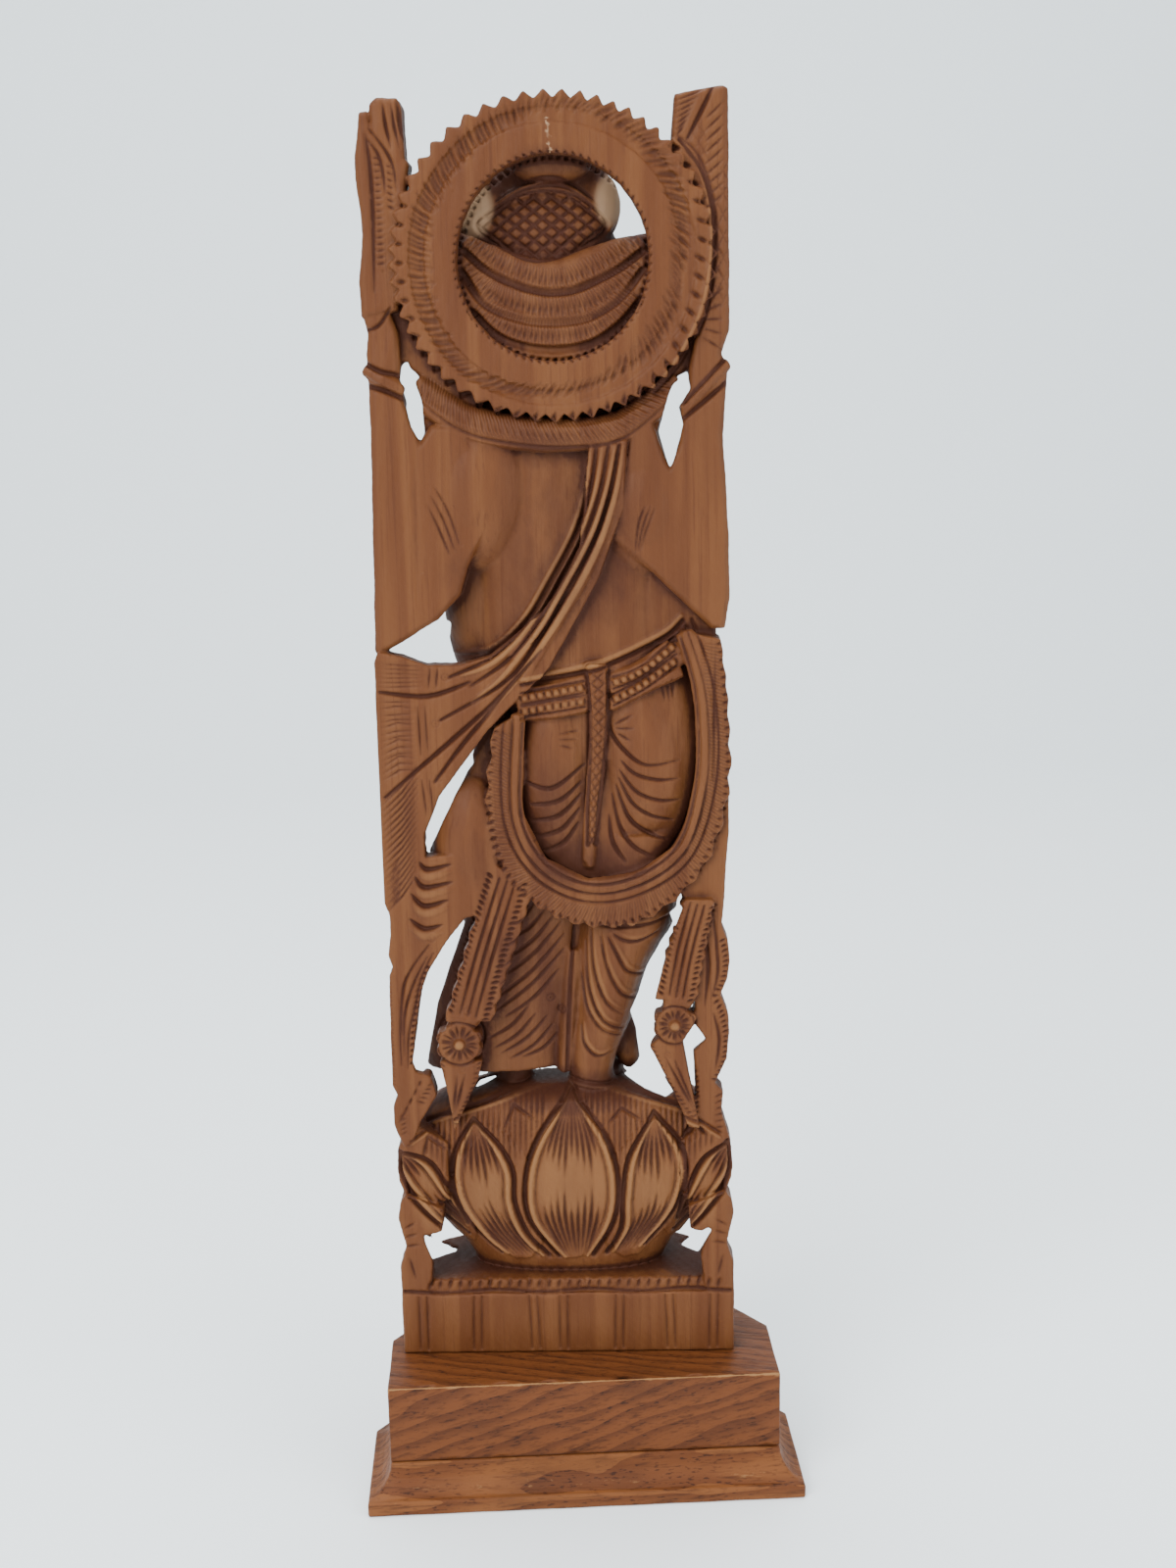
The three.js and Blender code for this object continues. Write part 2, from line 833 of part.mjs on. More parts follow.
/** The cloth over the shoulder, fanning out over the left edge of the board. */
function sash() {
  const fan = [
    [22.4, 281],
    [21, 262],
    [13.6, 242],
    [-1.2, 216.6],
    [-16, 201.4],
    [-19.4, 198.6],
    [-30, 184.6],
    [-34.6, 178.6],
    [-39.4, 167],
    [-39.4, 160],
    [-20, 162],
    [-15, 148],
    [-20, 143],
    [-28.4, 141.4],
    [-32, 136.5],
    [-36.6, 130.5],
    [-39.8, 124.5],
    [-42.2, 118.5],
    [-44.4, 106],
    [-45.2, 98],
    [-45, 92.6],
    [-40.4, 91.2],
    [-38.6, 85],
    [-43.8, 77],
    [-46.6, 69.6],
    [-49, 68.6],
    [-50.4, 72],
    [-51.8, 76],
    [-51.8, 81.6],
    [-50.2, 85.2],
    [-51.8, 88.6],
    [-51.6, 107],
    [-51.3, 123.6],
    [-50, 126],
    [-51.2, 130],
    [-50.3, 136],
    [-50.4, 142.4],
    [-51.8, 147],
    [-51.8, 168],
    [-51.6, 219],
    [-50.4, 221.8],
    [-44, 220.4],
    [-36, 217.6],
    [-27, 217.6],
    [-18, 219.8],
    [-0.8, 233.8],
    [9.2, 250.6],
    [12.4, 281],
  ];
  const upper = plate(fan, 1.6, 8.4);
  const folds = [
    [17.4, 279, 14.4, 262, 5, 240, -12, 219.6],
    [20.4, 279, 18, 261, 8.6, 240, -9, 212],
  ].map(([u0, h0, u1, h1, u2, h2, u3, h3]) =>
    limb(
      [
        [u0, 3, h0, 2, 2],
        [u1, 2.6, h1, 1.9, 2],
        [u2, 2.2, h2, 1.8, 2],
        [u3, 2.2, h3, 1.2, 1.8],
      ],
      6,
    ),
  );
  return [upper, ...folds];
}

/** A hanging ribbon: a fluted strip with toothed sides, a flower, and a pointed tail. */
function ribbon(strip, flower, tail) {
  const teeth = 8;
  const side = ([[u0, h0], [u1, h1]], out) =>
    Array.from({ length: teeth * 2 + 1 }, (_, k) => {
      const t = k / (teeth * 2);
      return [u0 + (u1 - u0) * t + (k % 2 ? out * 0.9 : 0), h0 + (h1 - h0) * t];
    });
  const band = plate([...side(strip.left, -1), ...side(strip.right, 1).reverse()], 1, 8);
  const { u, h, radius } = flower;
  return [band, rosette(u, h, radius, 1.2, 8), plate(tail, 1.4, 9)];
}

function ribbons() {
  const left = ribbon(
    {
      left: [
        [-19, 158],
        [-34.6, 109],
      ],
      right: [
        [-8, 150],
        [-21.4, 109],
      ],
    },
    { u: -31, h: 101.6, radius: 6.8 },
    [
      [-37, 96],
      [-34.6, 84],
      [-33.4, 74],
      [-31.6, 78],
      [-26, 90],
      [-24.4, 96],
    ],
  );
  const right = ribbon(
    {
      left: [
        [38, 146],
        [28.8, 115],
      ],
      right: [
        [46, 146],
        [40.2, 115],
      ],
    },
    { u: 34.6, h: 107, radius: 6.2 },
    [
      [27, 100],
      [31, 103],
      [36.6, 101],
      [37.6, 97],
      [41.4, 74],
      [38.6, 74],
      [34, 86],
    ],
  );
  return [...left, ...right];
}

/** The lobed border down the right edge, from the loop to the lotus. */
function edgeBorder() {
  const lobes = [
    [51, 178],
    [50.9, 166],
    [50.1, 152],
    [48.8, 137],
    [50.6, 132],
    [51.2, 126],
    [50.4, 120.6],
    [48.4, 115.4],
    [50.6, 109],
    [50.8, 103],
    [50.2, 95],
    [47.6, 90],
    [46.4, 87],
    [48.9, 84],
    [48.4, 77.6],
    [49.8, 73],
    [51.2, 68],
  ];
  const inner = [
    [40, 66],
    [41, 84],
    [40.4, 97.4],
    [44.2, 101.4],
    [40.5, 106],
    [41, 116],
    [42, 138],
    [37.6, 144.4],
    [36, 152],
    [42, 176],
  ];
  return plate([...lobes, ...inner], 4, 13);
}

/** An opening that goes right through the board, given by its outline in the back face. */
function opening(line) {
  const outline = new THREE.Shape(line.map((point) => new THREE.Vector2(...point)));
  const geometry = new THREE.ExtrudeGeometry(outline, { depth: BOARD_DEPTH + 14, bevelEnabled: false });
  geometry.rotateX(Math.PI / 2).scale(1, -1, 1).translate(0, -6, 0);
  const points = geometry.attributes.position;
  for (let i = 0; i < points.count; i++) {
    const [u, d, h] = [points.getX(i), points.getY(i), points.getZ(i)];
    const spread = (CUT_FROM.d + d) / CUT_FROM.d;
    points.setX(i, CUT_FROM.u + (u - CUT_FROM.u) * spread);
    points.setZ(i, CUT_FROM.h + (h - CUT_FROM.h) * spread);
  }
  return solidFrom(geometry);
}

function throughCuts() {
  const lines = [
    // between the left forearm and the shoulder
    [
      [-38.2, 304.4],
      [-40.2, 303],
      [-41, 298.9],
      [-39.2, 296],
      [-39.4, 291],
      [-38, 284.8],
      [-36, 281.8],
      [-34.4, 286],
      [-34.4, 292.6],
      [-37.1, 300.7],
    ],
    // between the right forearm and the shoulder
    [
      [38.1, 298.2],
      [35.6, 296.6],
      [34.6, 294.6],
      [31.2, 283.6],
      [33.4, 274.8],
      [34.8, 272.2],
      [37.3, 279.1],
      [38.7, 285.3],
      [37.4, 290.2],
      [40.5, 293.8],
      [40.2, 297],
    ],
    // under the left arm
    [
      [-30.4, 231.4],
      [-40.6, 226.8],
      [-45, 223.6],
      [-42.5, 220.8],
      [-36.4, 218.8],
      [-34, 221.3],
      [-29, 226.9],
      [-28.6, 230.8],
    ],
    // between the fan of the sash and the hip
    [
      [-23.8, 192.2],
      [-30.4, 185],
      [-34.4, 178.3],
      [-36.5, 172.6],
      [-39, 165],
      [-38.2, 163.2],
      [-36.6, 164.6],
      [-29.2, 179.4],
      [-25.2, 186.7],
      [-23.4, 189],
    ],
    // between the hanging end and the pleated cloth
    [
      [-27.2, 142.8],
      [-31.8, 137.4],
      [-36.1, 131.3],
      [-38.9, 126],
      [-41.3, 120],
      [-42.5, 110.7],
      [-44.4, 102],
      [-45.4, 97],
      [-44.6, 94.2],
      [-41.8, 93.5],
      [-40.2, 97.6],
      [-36.7, 115.3],
      [-31.4, 130.3],
      [-28.4, 138],
    ],
    // beside the straight leg
    [
      [29.5, 129.2],
      [24.8, 121.2],
      [20.7, 112.2],
      [22.5, 106.7],
      [23.6, 97],
      [18.2, 92],
      [25.2, 86.9],
      [31.5, 84],
      [34, 86.2],
      [26.3, 100],
      [28.4, 104.1],
      [27.3, 109.1],
      [29.5, 119],
      [31.6, 127.8],
    ],
    [
      [36.4, 145.2],
      [32.9, 143],
      [34.8, 137.4],
      [37.5, 144.4],
    ],
    // the diamond in the border
    [
      [40.3, 108.4],
      [36.6, 102.4],
      [39, 98.8],
      [43.9, 103],
    ],
    // under the hem
    [
      [-16.4, 93.4],
      [-25.1, 91],
      [-28, 86.4],
    ],
    // under the rim of the lotus, framed by the end posts
    [
      [-44.3, 40.8],
      [-43.8, 37.3],
      [-42, 31.6],
      [-35.6, 33.2],
      [-33, 34.9],
      [-38, 37.2],
    ],
    [
      [44.2, 41.8],
      [38.3, 38.4],
      [35, 35.8],
      [41, 32.9],
      [42.2, 34.7],
      [45.6, 40.8],
    ],
  ];
  return joined(lines.map(opening));
}

/** The whole carving, one piece of wood. */
function carving() {
  const board = plate(
    [
      [-HALF, 0],
      [HALF, 0],
      [HALF, BOARD_HEIGHT],
      [-HALF, BOARD_HEIGHT],
    ],
    0,
    BOARD_DEPTH + 2,
  );
  const parts = [
    basePlatform(),
    endPosts(),
    lotus(),
    ...legs(),
    ...hips(),
    ...belt(),
    ...hangingLoop(),
    ...torso(),
    ...rearArmLeft(),
    ...rearArmRight(),
    ...heldThings(),
    halo(),
    ...headFromBehind(),
    ...sash(),
    ...ribbons(),
    edgeBorder(),
  ];
  const front = [...face(), ...frontArms()];
  const whole = joined([...parts, ...front]).subtract(throughCuts()).intersect(board);
  return withoutPockets(whole.asOriginal().simplify(FINEST_DETAIL));
}

/** The plinth's plan, larger all round by grow, its back edge at y = 0 before growing. */
function plinthPlan(grow) {
  const half = PLINTH_WIDTH / 2 + grow;
  const slant = Math.hypot(PLINTH_CHAMFER, PLINTH_DEPTH - PLINTH_SIDE);
  const side = PLINTH_SIDE + (grow * PLINTH_CHAMFER) / slant;
  const front = PLINTH_WIDTH / 2 - PLINTH_CHAMFER + (grow * (PLINTH_DEPTH - PLINTH_SIDE)) / slant / 2;
  return [
    [-half, -grow],
    [half, -grow],
    [half, side],
    [front, PLINTH_DEPTH + grow],
    [-front, PLINTH_DEPTH + grow],
    [-half, side],
  ];
}

/** A board of the plinth: rings of its plan, each [height, how far it stands out]. */
const plinthBoard = (levels) =>
  skin(levels.map(([h, grow]) => plinthPlan(grow).map(([u, d]) => v3(u, d, h))));

/** The cove of the foot board, from its upright edge up to the upper board. */
function coveLevels() {
  const steps = 6;
  return Array.from({ length: steps + 1 }, (_, k) => {
    const angle = (k / steps) * (Math.PI / 2);
    const rise = FOOT_HEIGHT - FOOT_EDGE;
    return [FOOT_EDGE + rise * (1 - Math.cos(angle)), FOOT_PROUD * (1 - Math.sin(angle))];
  });
}

/** A three.js geometry of a finished solid. */
function geometryOf(solid) {
  const { vertProperties, triVerts } = solid.getMesh();
  const geometry = new THREE.BufferGeometry();
  geometry.setAttribute("position", new THREE.BufferAttribute(vertProperties, 3));
  geometry.setIndex(new THREE.BufferAttribute(triVerts, 1));
  geometry.computeVertexNormals();
  return geometry;
}

const CARVED_WOOD = new THREE.MeshStandardMaterial({ color: 0x9a6238, roughness: 0.55, metalness: 0 });
const PLINTH_WOOD = new THREE.MeshStandardMaterial({ color: 0x7d4826, roughness: 0.45, metalness: 0 });

function named(name, solid, material) {
  const mesh = new THREE.Mesh(geometryOf(solid), material);
  mesh.name = name;
  return mesh;
}

const foot = named("plinth_foot", plinthBoard([[0, FOOT_PROUD], ...coveLevels()]), PLINTH_WOOD);
const top = named(
  "plinth_top",
  plinthBoard([
    [0, 0],
    [TOP_BOARD_HEIGHT, 0],
  ]),
  PLINTH_WOOD,
);
top.position.z = FOOT_HEIGHT + JOINT_GAP;

const figure = named("figure", carving(), CARVED_WOOD);
figure.position.set(FIGURE_OFF_CENTRE, FIGURE_SET_BACK, top.position.z + TOP_BOARD_HEIGHT + JOINT_GAP);
figure.rotation.z = -FIGURE_SKEW;

const seenFromBehind = new THREE.Group();
seenFromBehind.add(foot, top, figure);
seenFromBehind.position.y = PLINTH_DEPTH / 2;
seenFromBehind.rotation.z = Math.PI;

const ganesha = new THREE.Group();
ganesha.add(seenFromBehind);

export default ganesha;
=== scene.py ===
"""The looks of a carved wooden Ganesha on its plinth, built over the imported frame."""

import logging
import math
from dataclasses import dataclass, field
from enum import Enum
from typing import Any, Iterable, Sequence

import bmesh
import bpy
import numpy as np
from mathutils import Matrix, Vector

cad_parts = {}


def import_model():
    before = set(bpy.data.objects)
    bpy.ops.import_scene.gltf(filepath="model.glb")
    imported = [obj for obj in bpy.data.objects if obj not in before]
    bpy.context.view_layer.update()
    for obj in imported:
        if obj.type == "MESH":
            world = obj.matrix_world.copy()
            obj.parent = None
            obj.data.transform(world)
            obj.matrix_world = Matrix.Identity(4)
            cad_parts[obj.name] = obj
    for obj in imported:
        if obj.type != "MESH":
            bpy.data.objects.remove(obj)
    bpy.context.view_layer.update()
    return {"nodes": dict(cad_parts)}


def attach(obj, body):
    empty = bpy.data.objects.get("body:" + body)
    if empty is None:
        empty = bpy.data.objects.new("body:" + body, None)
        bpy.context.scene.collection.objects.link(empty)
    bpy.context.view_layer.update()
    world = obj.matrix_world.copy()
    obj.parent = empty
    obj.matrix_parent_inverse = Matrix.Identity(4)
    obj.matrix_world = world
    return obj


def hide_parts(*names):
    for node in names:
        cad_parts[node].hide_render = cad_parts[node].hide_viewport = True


LOG = logging.getLogger("ganesha")

MM = 0.001
PHOTO_HEIGHT = 1600
CUT_SHADE_AND_STAIN = 0.8  # the painted shade and stain that a cut of one millimetre holds
WAX_SHEEN = 0.16  # the specular level of both woods

Path = Sequence[Sequence[float]]


class Side(Enum):
    """A face of the board that can be carved."""

    BACK = -1.0
    FRONT = 1.0


class Cut(Enum):
    """The shape of a gouge's edge."""

    VEE = "vee"
    ROUND = "round"


@dataclass(frozen=True)
class BoardPlace:
    """Where the carved board stands on the plinth, in millimetres.

    A point on the board is (u, d, h): u to the right as seen from behind, d from the back
    face into the wood, and h up from the board's underside.
    """

    off_centre: float = -4.3
    set_back: float = 18.0
    half_depth: float = 33.0
    skew: float = math.radians(3.5)
    foot: float = 38.9

    def matrix(self) -> Matrix:
        """Returns the turn and shift from board millimetres to frame metres."""
        cos, sin = math.cos(self.skew), math.sin(self.skew)
        turn = Matrix(
            (
                (-cos, -sin, 0.0, -self.off_centre),
                (sin, -cos, 0.0, self.half_depth - self.set_back),
                (0.0, 0.0, 1.0, self.foot),
                (0.0, 0.0, 0.0, 1.0),
            )
        )
        return Matrix.Scale(MM, 4) @ turn


def curve(points: Sequence[Sequence[float]], count: int = 0, closed: bool = False) -> np.ndarray:
    """Samples a smooth line through some points.

    Args:
        points: The points, in any number of dimensions.
        count: How many samples, or 0 for six to each span.
        closed: Whether the line returns to its first point.

    Returns:
        An array with one row for each sample.
    """
    pts = np.asarray(points, dtype=float)
    spans = len(pts) if closed else len(pts) - 1
    count = count or spans * 6 + (0 if closed else 1)
    at = np.linspace(0.0, spans, count, endpoint=not closed)
    low = np.minimum(at.astype(int), spans - 1)
    t = (at - low)[:, None]
    if closed:
        p0, p1, p2, p3 = (pts[(low + k) % len(pts)] for k in (-1, 0, 1, 2))
    else:
        p0, p1, p2, p3 = (pts[np.clip(low + k, 0, len(pts) - 1)] for k in (-1, 0, 1, 2))
    return 0.5 * (
        2 * p1 + (p2 - p0) * t + (2 * p0 - 5 * p1 + 4 * p2 - p3) * t**2 + (3 * p1 - p0 - 3 * p2 + p3) * t**3
    )


def unit(degrees: float) -> np.ndarray:
    """Returns the u, h of a step of length 1 at an angle."""
    return np.array([math.cos(math.radians(degrees)), math.sin(math.radians(degrees))])


def circle(u: float, h: float, radius: float, count: int) -> np.ndarray:
    """Returns points round a circle, of which the last is the first again."""
    return np.array([(u, h) + radius * unit(angle) for angle in np.linspace(0, 360, count)])


def along(points: np.ndarray, spacing: float) -> tuple[np.ndarray, np.ndarray]:
    """Steps evenly along a line.

    Args:
        points: The line's points, one row each.
        spacing: The step, in the line's own unit.

    Returns:
        The stepped points, and the unit direction at each.
    """
    steps = np.diff(points, axis=0)
    lengths = np.concatenate([[0.0], np.cumsum(np.linalg.norm(steps, axis=1))])
    count = max(2, int(round(lengths[-1] / spacing)) + 1)
    where = np.linspace(0, lengths[-1], count)
    stepped = np.stack([np.interp(where, lengths, points[:, k]) for k in range(points.shape[1])], axis=1)
    direction = np.gradient(stepped, axis=0)
    return stepped, direction / np.maximum(np.linalg.norm(direction, axis=1, keepdims=True), 1e-9)


@dataclass
class Relief:
    """One face of the board: how deep it is cut, what stands proud, its painted shade and light, its stain
    and its fine strokes.
    """

    side: Side
    cell: float = 0.16
    left: float = -55.0
    low: float = -2.0
    columns: int = 690
    rows: int = 2380
    cut: np.ndarray = field(init=False)
    proud: np.ndarray = field(init=False)
    # The next two layers hold painted shade with some gathered stain, and painted light.
    shade_and_stain: np.ndarray = field(init=False)
    bright: np.ndarray = field(init=False)
    fur: np.ndarray = field(init=False)
    strand: np.ndarray = field(init=False)

    def __post_init__(self) -> None:
        """Starts with an uncut face."""
        blank = (self.rows, self.columns)
        self.cut, self.proud, self.shade_and_stain, self.bright, self.fur, self.strand = (
            np.zeros(blank, np.float32) for _ in range(6)
        )

    def _window(self, points: np.ndarray, reach: float) -> tuple[tuple[slice, slice], np.ndarray, np.ndarray]:
        """Finds the cells near some points.

        Args:
            points: Rows of u, h.
            reach: How far from them the cells may be.

        Returns:
            The slices of the window, and the u and h of its cells.
        """
        low = points.min(axis=0) - reach
        high = points.max(axis=0) + reach
        c0, c1 = (int(np.clip((x - self.left) / self.cell, 0, self.columns - 1)) for x in (low[0], high[0]))
        r0, r1 = (int(np.clip((x - self.low) / self.cell, 0, self.rows - 1)) for x in (low[1], high[1]))
        u = self.left + self.cell * np.arange(c0, c1 + 1)
        h = self.low + self.cell * np.arange(r0, r1 + 1)
        grid_u, grid_h = np.meshgrid(u, h)
        return (slice(r0, r1 + 1), slice(c0, c1 + 1)), grid_u, grid_h

    def _strip(self, path: Path | np.ndarray, width: float, taper: float) -> Iterable[tuple]:
        """Walks a path and measures the cells beside each of its segments.

        Args:
            path: Points of u, h.
            width: The strip's full width.
            taper: How much narrower the strip gets towards both ends, from 0 to 1.

        Returns:
            For each segment: the window, the distance as a share of the half width, and the
            share of the full size there.
        """
        pts = np.asarray(path, dtype=float)
        count = len(pts) - 1
        for i in range(count):
            a, b = pts[i], pts[i + 1]
            window, u, h = self._window(np.stack([a, b]), width * 0.5)
            if u.size == 0:
                continue
            ab = b - a
            t = np.clip(((u - a[0]) * ab[0] + (h - a[1]) * ab[1]) / max(float(ab @ ab), 1e-9), 0, 1)
            distance = np.hypot(u - a[0] - t * ab[0], h - a[1] - t * ab[1])
            share = 1.0 - taper * np.abs(2 * (i + t) / count - 1) ** 2
            yield window, distance / (0.5 * width * share), share

    def gouge(
        self,
        path: Path | np.ndarray,
        width: float = 1.1,
        depth: float = 0.7,
        taper: float = 0.55,
        cut: Cut = Cut.VEE,
        dark: float = 1.0,
    ) -> None:
        """Cuts one stroke.

        Args:
            path: The stroke, as points of u, h.
            width: Its width at the middle.
            depth: Its depth at the middle.
            taper: How much it runs out at both ends.
            cut: The shape of its section.
            dark: How dark its painted shade and stain lie, from 0 to 1.
        """
        for window, across, share in self._strip(path, width, taper):
            inside = np.clip(1 - across, 0, 1) if cut is Cut.VEE else np.clip(1 - across**2, 0, 1)
            deep = depth * share * inside
            np.maximum(self.cut[window], deep, out=self.cut[window])
            if dark < 1:
                np.minimum(self.shade_and_stain[window], (dark - 1) * CUT_SHADE_AND_STAIN * deep, out=self.shade_and_stain[window])

    def strokes(self, paths: Iterable[Path | np.ndarray], width: float, depth: float, taper: float) -> None:
        """Cuts a stroke along the smooth line through each path."""
        for path in paths:
            self.gouge(curve(path), width, depth, taper)

    def rank(
        self, count: int, path: Path | np.ndarray, step: Any, width: float, depth: float, taper: float
    ) -> None:
        """Cuts a row of like strokes.

        Args:
            count: How many there are.
            path: The first stroke, as points of u, h.
            step: What is added from stroke to stroke: one u, h for all points, or one for each.
            width: A stroke's width.
            depth: A stroke's depth.
            taper: How much a stroke runs out at both ends.
        """
        for k in range(count):
            self.gouge(np.array(path) + k * np.array(step), width, depth, taper)

    def ridge(self, path: Path | np.ndarray, width: float, height: float, taper: float = 0.3) -> None:
        """Leaves a rounded ridge standing along a path."""
        for window, across, share in self._strip(path, width, taper):
            form = height * share * np.sqrt(np.clip(1 - across**2, 0, 1))
            np.maximum(self.proud[window], form, out=self.proud[window])

    def blob(self, u: float, h: float, radius: float, height: float) -> None:
        """Leaves a bead standing, or cuts a pit where the height is negative."""
        window, grid_u, grid_h = self._window(np.array([[u, h]]), radius)
        share = np.hypot(grid_u - u, grid_h - h) / radius
        layer = self.proud if height > 0 else self.cut
        np.maximum(layer[window], abs(height) * np.sqrt(np.clip(1 - share**2, 0, 1)), out=layer[window])

    def beads(self, places: np.ndarray, radius: float, height: float) -> None:
        """Leaves a bead standing at each place."""
        for u, h in places:
            self.blob(u, h, radius, height)

    def punch(self, u: float, h: float, radius: float = 1.05) -> None:
        """Stamps a small ring with a dot in it."""
        self.gouge(circle(u, h, radius, 13), 0.7, 0.5, 0)
        self.blob(u, h, 0.42, -0.5)

    def wedge(self, root: np.ndarray, tip: np.ndarray, width: float, depth: float) -> None:
        """Cuts a pointed chip, widest and deepest at its root.

        Args:
            root: The u, h of the wide end.
            tip: The u, h of the point.
            width: The width at the root.
            depth: The depth at the root.
        """
        window, u, h = self._window(np.stack([root, tip]), width)
        axis = tip - root
        length = float(np.linalg.norm(axis))
        axis = axis / max(length, 1e-9)
        t = ((u - root[0]) * axis[0] + (h - root[1]) * axis[1]) / length
        off = np.abs((h - root[1]) * axis[0] - (u - root[0]) * axis[1])
        half = 0.5 * width * np.clip(1 - t, 0, 1) + 1e-6
        inside = np.clip(1 - off / half, 0, 1) * np.clip(1 - t, 0, 1) * (t > -0.12)
        np.maximum(self.cut[window], depth * np.minimum(1.6 * inside, 1), out=self.cut[window])

    def hatch(
        self,
        line: np.ndarray,
        spacing: float,
        reach: tuple[float, float],
        slant: float = 0.0,
        width: float = 0.8,
        depth: float = 0.5,
    ) -> None:
        """Cuts short strokes across a line.

        Args:
            line: The line, as rows of u, h.
            spacing: The step from stroke to stroke.
            reach: Where a stroke starts and ends, on the left of the line's direction.
            slant: How far a stroke leans forward, in radians.
            width: A stroke's width.
            depth: A stroke's depth.
        """
        points, direction = along(line, spacing)
        for k, (p, t) in enumerate(zip(points, direction)):
            n = np.array([-t[1], t[0]])
            lean = n * math.cos(slant) + t * math.sin(slant)
            sway = 0.12 * math.sin(k * 2.4)
            a, b = p + lean * (reach[0] + sway), p + lean * (reach[1] - sway) + t * sway
            self.gouge([a, b], width, depth, 0.7)

    def strands(self, line: np.ndarray, reach: tuple[float, float], slant: float = 0.0) -> None:
        """Marks a band beside a line that is worked all over with hair-fine strokes.

        Args:
            line: The line, as rows of u, h.
            reach: Where the band starts and ends, on the left of the line's direction.
            slant: How far the strokes lean forward, as a share of their length.
        """
        points, _ = along(line, 1.5)
        gone = 0.0
        for a, b in zip(points, points[1:]):
            length = float(np.linalg.norm(b - a))
            t = (b - a) / max(length, 1e-9)
            window, u, h = self._window(np.stack([a, b]), max(abs(reach[0]), abs(reach[1])) + 0.5)
            forward = (u - a[0]) * t[0] + (h - a[1]) * t[1]
            aside = (h - a[1]) * t[0] - (u - a[0]) * t[1]
            inside = (forward > -0.3) & (forward < length + 0.3) & (aside > reach[0]) & (aside < reach[1])
            fade = np.clip(np.minimum(aside - reach[0], reach[1] - aside) / 0.8, 0, 1)
            self.strand[window] = np.where(inside, gone + forward + slant * aside, self.strand[window])
            self.fur[window] = np.where(inside, np.maximum(self.fur[window], fade), self.fur[window])
            gone += length

    def blots(self, *blots: Sequence[float]) -> None:
        """Paints shade, with some gathered stain, into soft ovals, and paints light where the strength is
        negative.

        Args:
            blots: Each is u, h, its half sizes and its strength, which is negative where it paints light.
        """
        for u, h, half_u, half_h, strength in blots:
            window, grid_u, grid_h = self._window(np.array([[u, h]]), max(half_u, half_h))
            share = np.hypot((grid_u - u) / half_u, (grid_h - h) / half_h)
            # Dark ovals hold painted shade with some gathered stain, light ones hold painted light.
            layer = self.shade_and_stain if strength > 0 else self.bright
            layer[window] += abs(strength) * np.clip(1 - share, 0, 1) ** 0.6

    def lattice(self, outline: np.ndarray, pitch: float, tilt: float, width: float, depth: float) -> None:
        """Cuts two crossing sets of strokes inside an outline.

        Args:
            outline: The closed outline, as rows of u, h.
            pitch: The step between strokes.
            tilt: The strokes' angle from level, in radians.
            width: A stroke's width.
            depth: A stroke's depth.
        """
        for sign in (-1, 1):
            t = np.array([math.cos(tilt), sign * math.sin(tilt)])
            n = np.array([-t[1], t[0]])
            offsets = outline @ n
            for offset in np.arange(offsets.min() + pitch * 0.4, offsets.max(), pitch):
                ends = self._crossings(outline, n, offset, t)
                for a, b in zip(ends[::2], ends[1::2]):
                    self.gouge([a, (a + b) / 2 + n * 0.1, b], width, depth, 0.15)

    @staticmethod
    def _crossings(outline: np.ndarray, n: np.ndarray, offset: float, t: np.ndarray) -> list[np.ndarray]:
        """Finds where a straight line crosses a closed outline, in order along the line."""
        found = []
        for a, b in zip(outline, np.roll(outline, -1, axis=0)):
            da, db = a @ n - offset, b @ n - offset
            if (da < 0) != (db < 0):
                found.append(a + (b - a) * (da / (da - db)))
        return sorted(found, key=lambda p: float(p @ t))

    def sample(self, u: np.ndarray, h: np.ndarray, layer: np.ndarray) -> np.ndarray:
        """Reads a layer at points of the board, with values blended between cells."""
        c = np.clip((u - self.left) / self.cell, 0, self.columns - 1.001)
        r = np.clip((h - self.low) / self.cell, 0, self.rows - 1.001)
        c0, r0 = c.astype(int), r.astype(int)
        fc, fr = c - c0, r - r0
        top = layer[r0, c0] * (1 - fc) + layer[r0, c0 + 1] * fc
        bottom = layer[r0 + 1, c0] * (1 - fc) + layer[r0 + 1, c0 + 1] * fc
        return top * (1 - fr) + bottom * fr


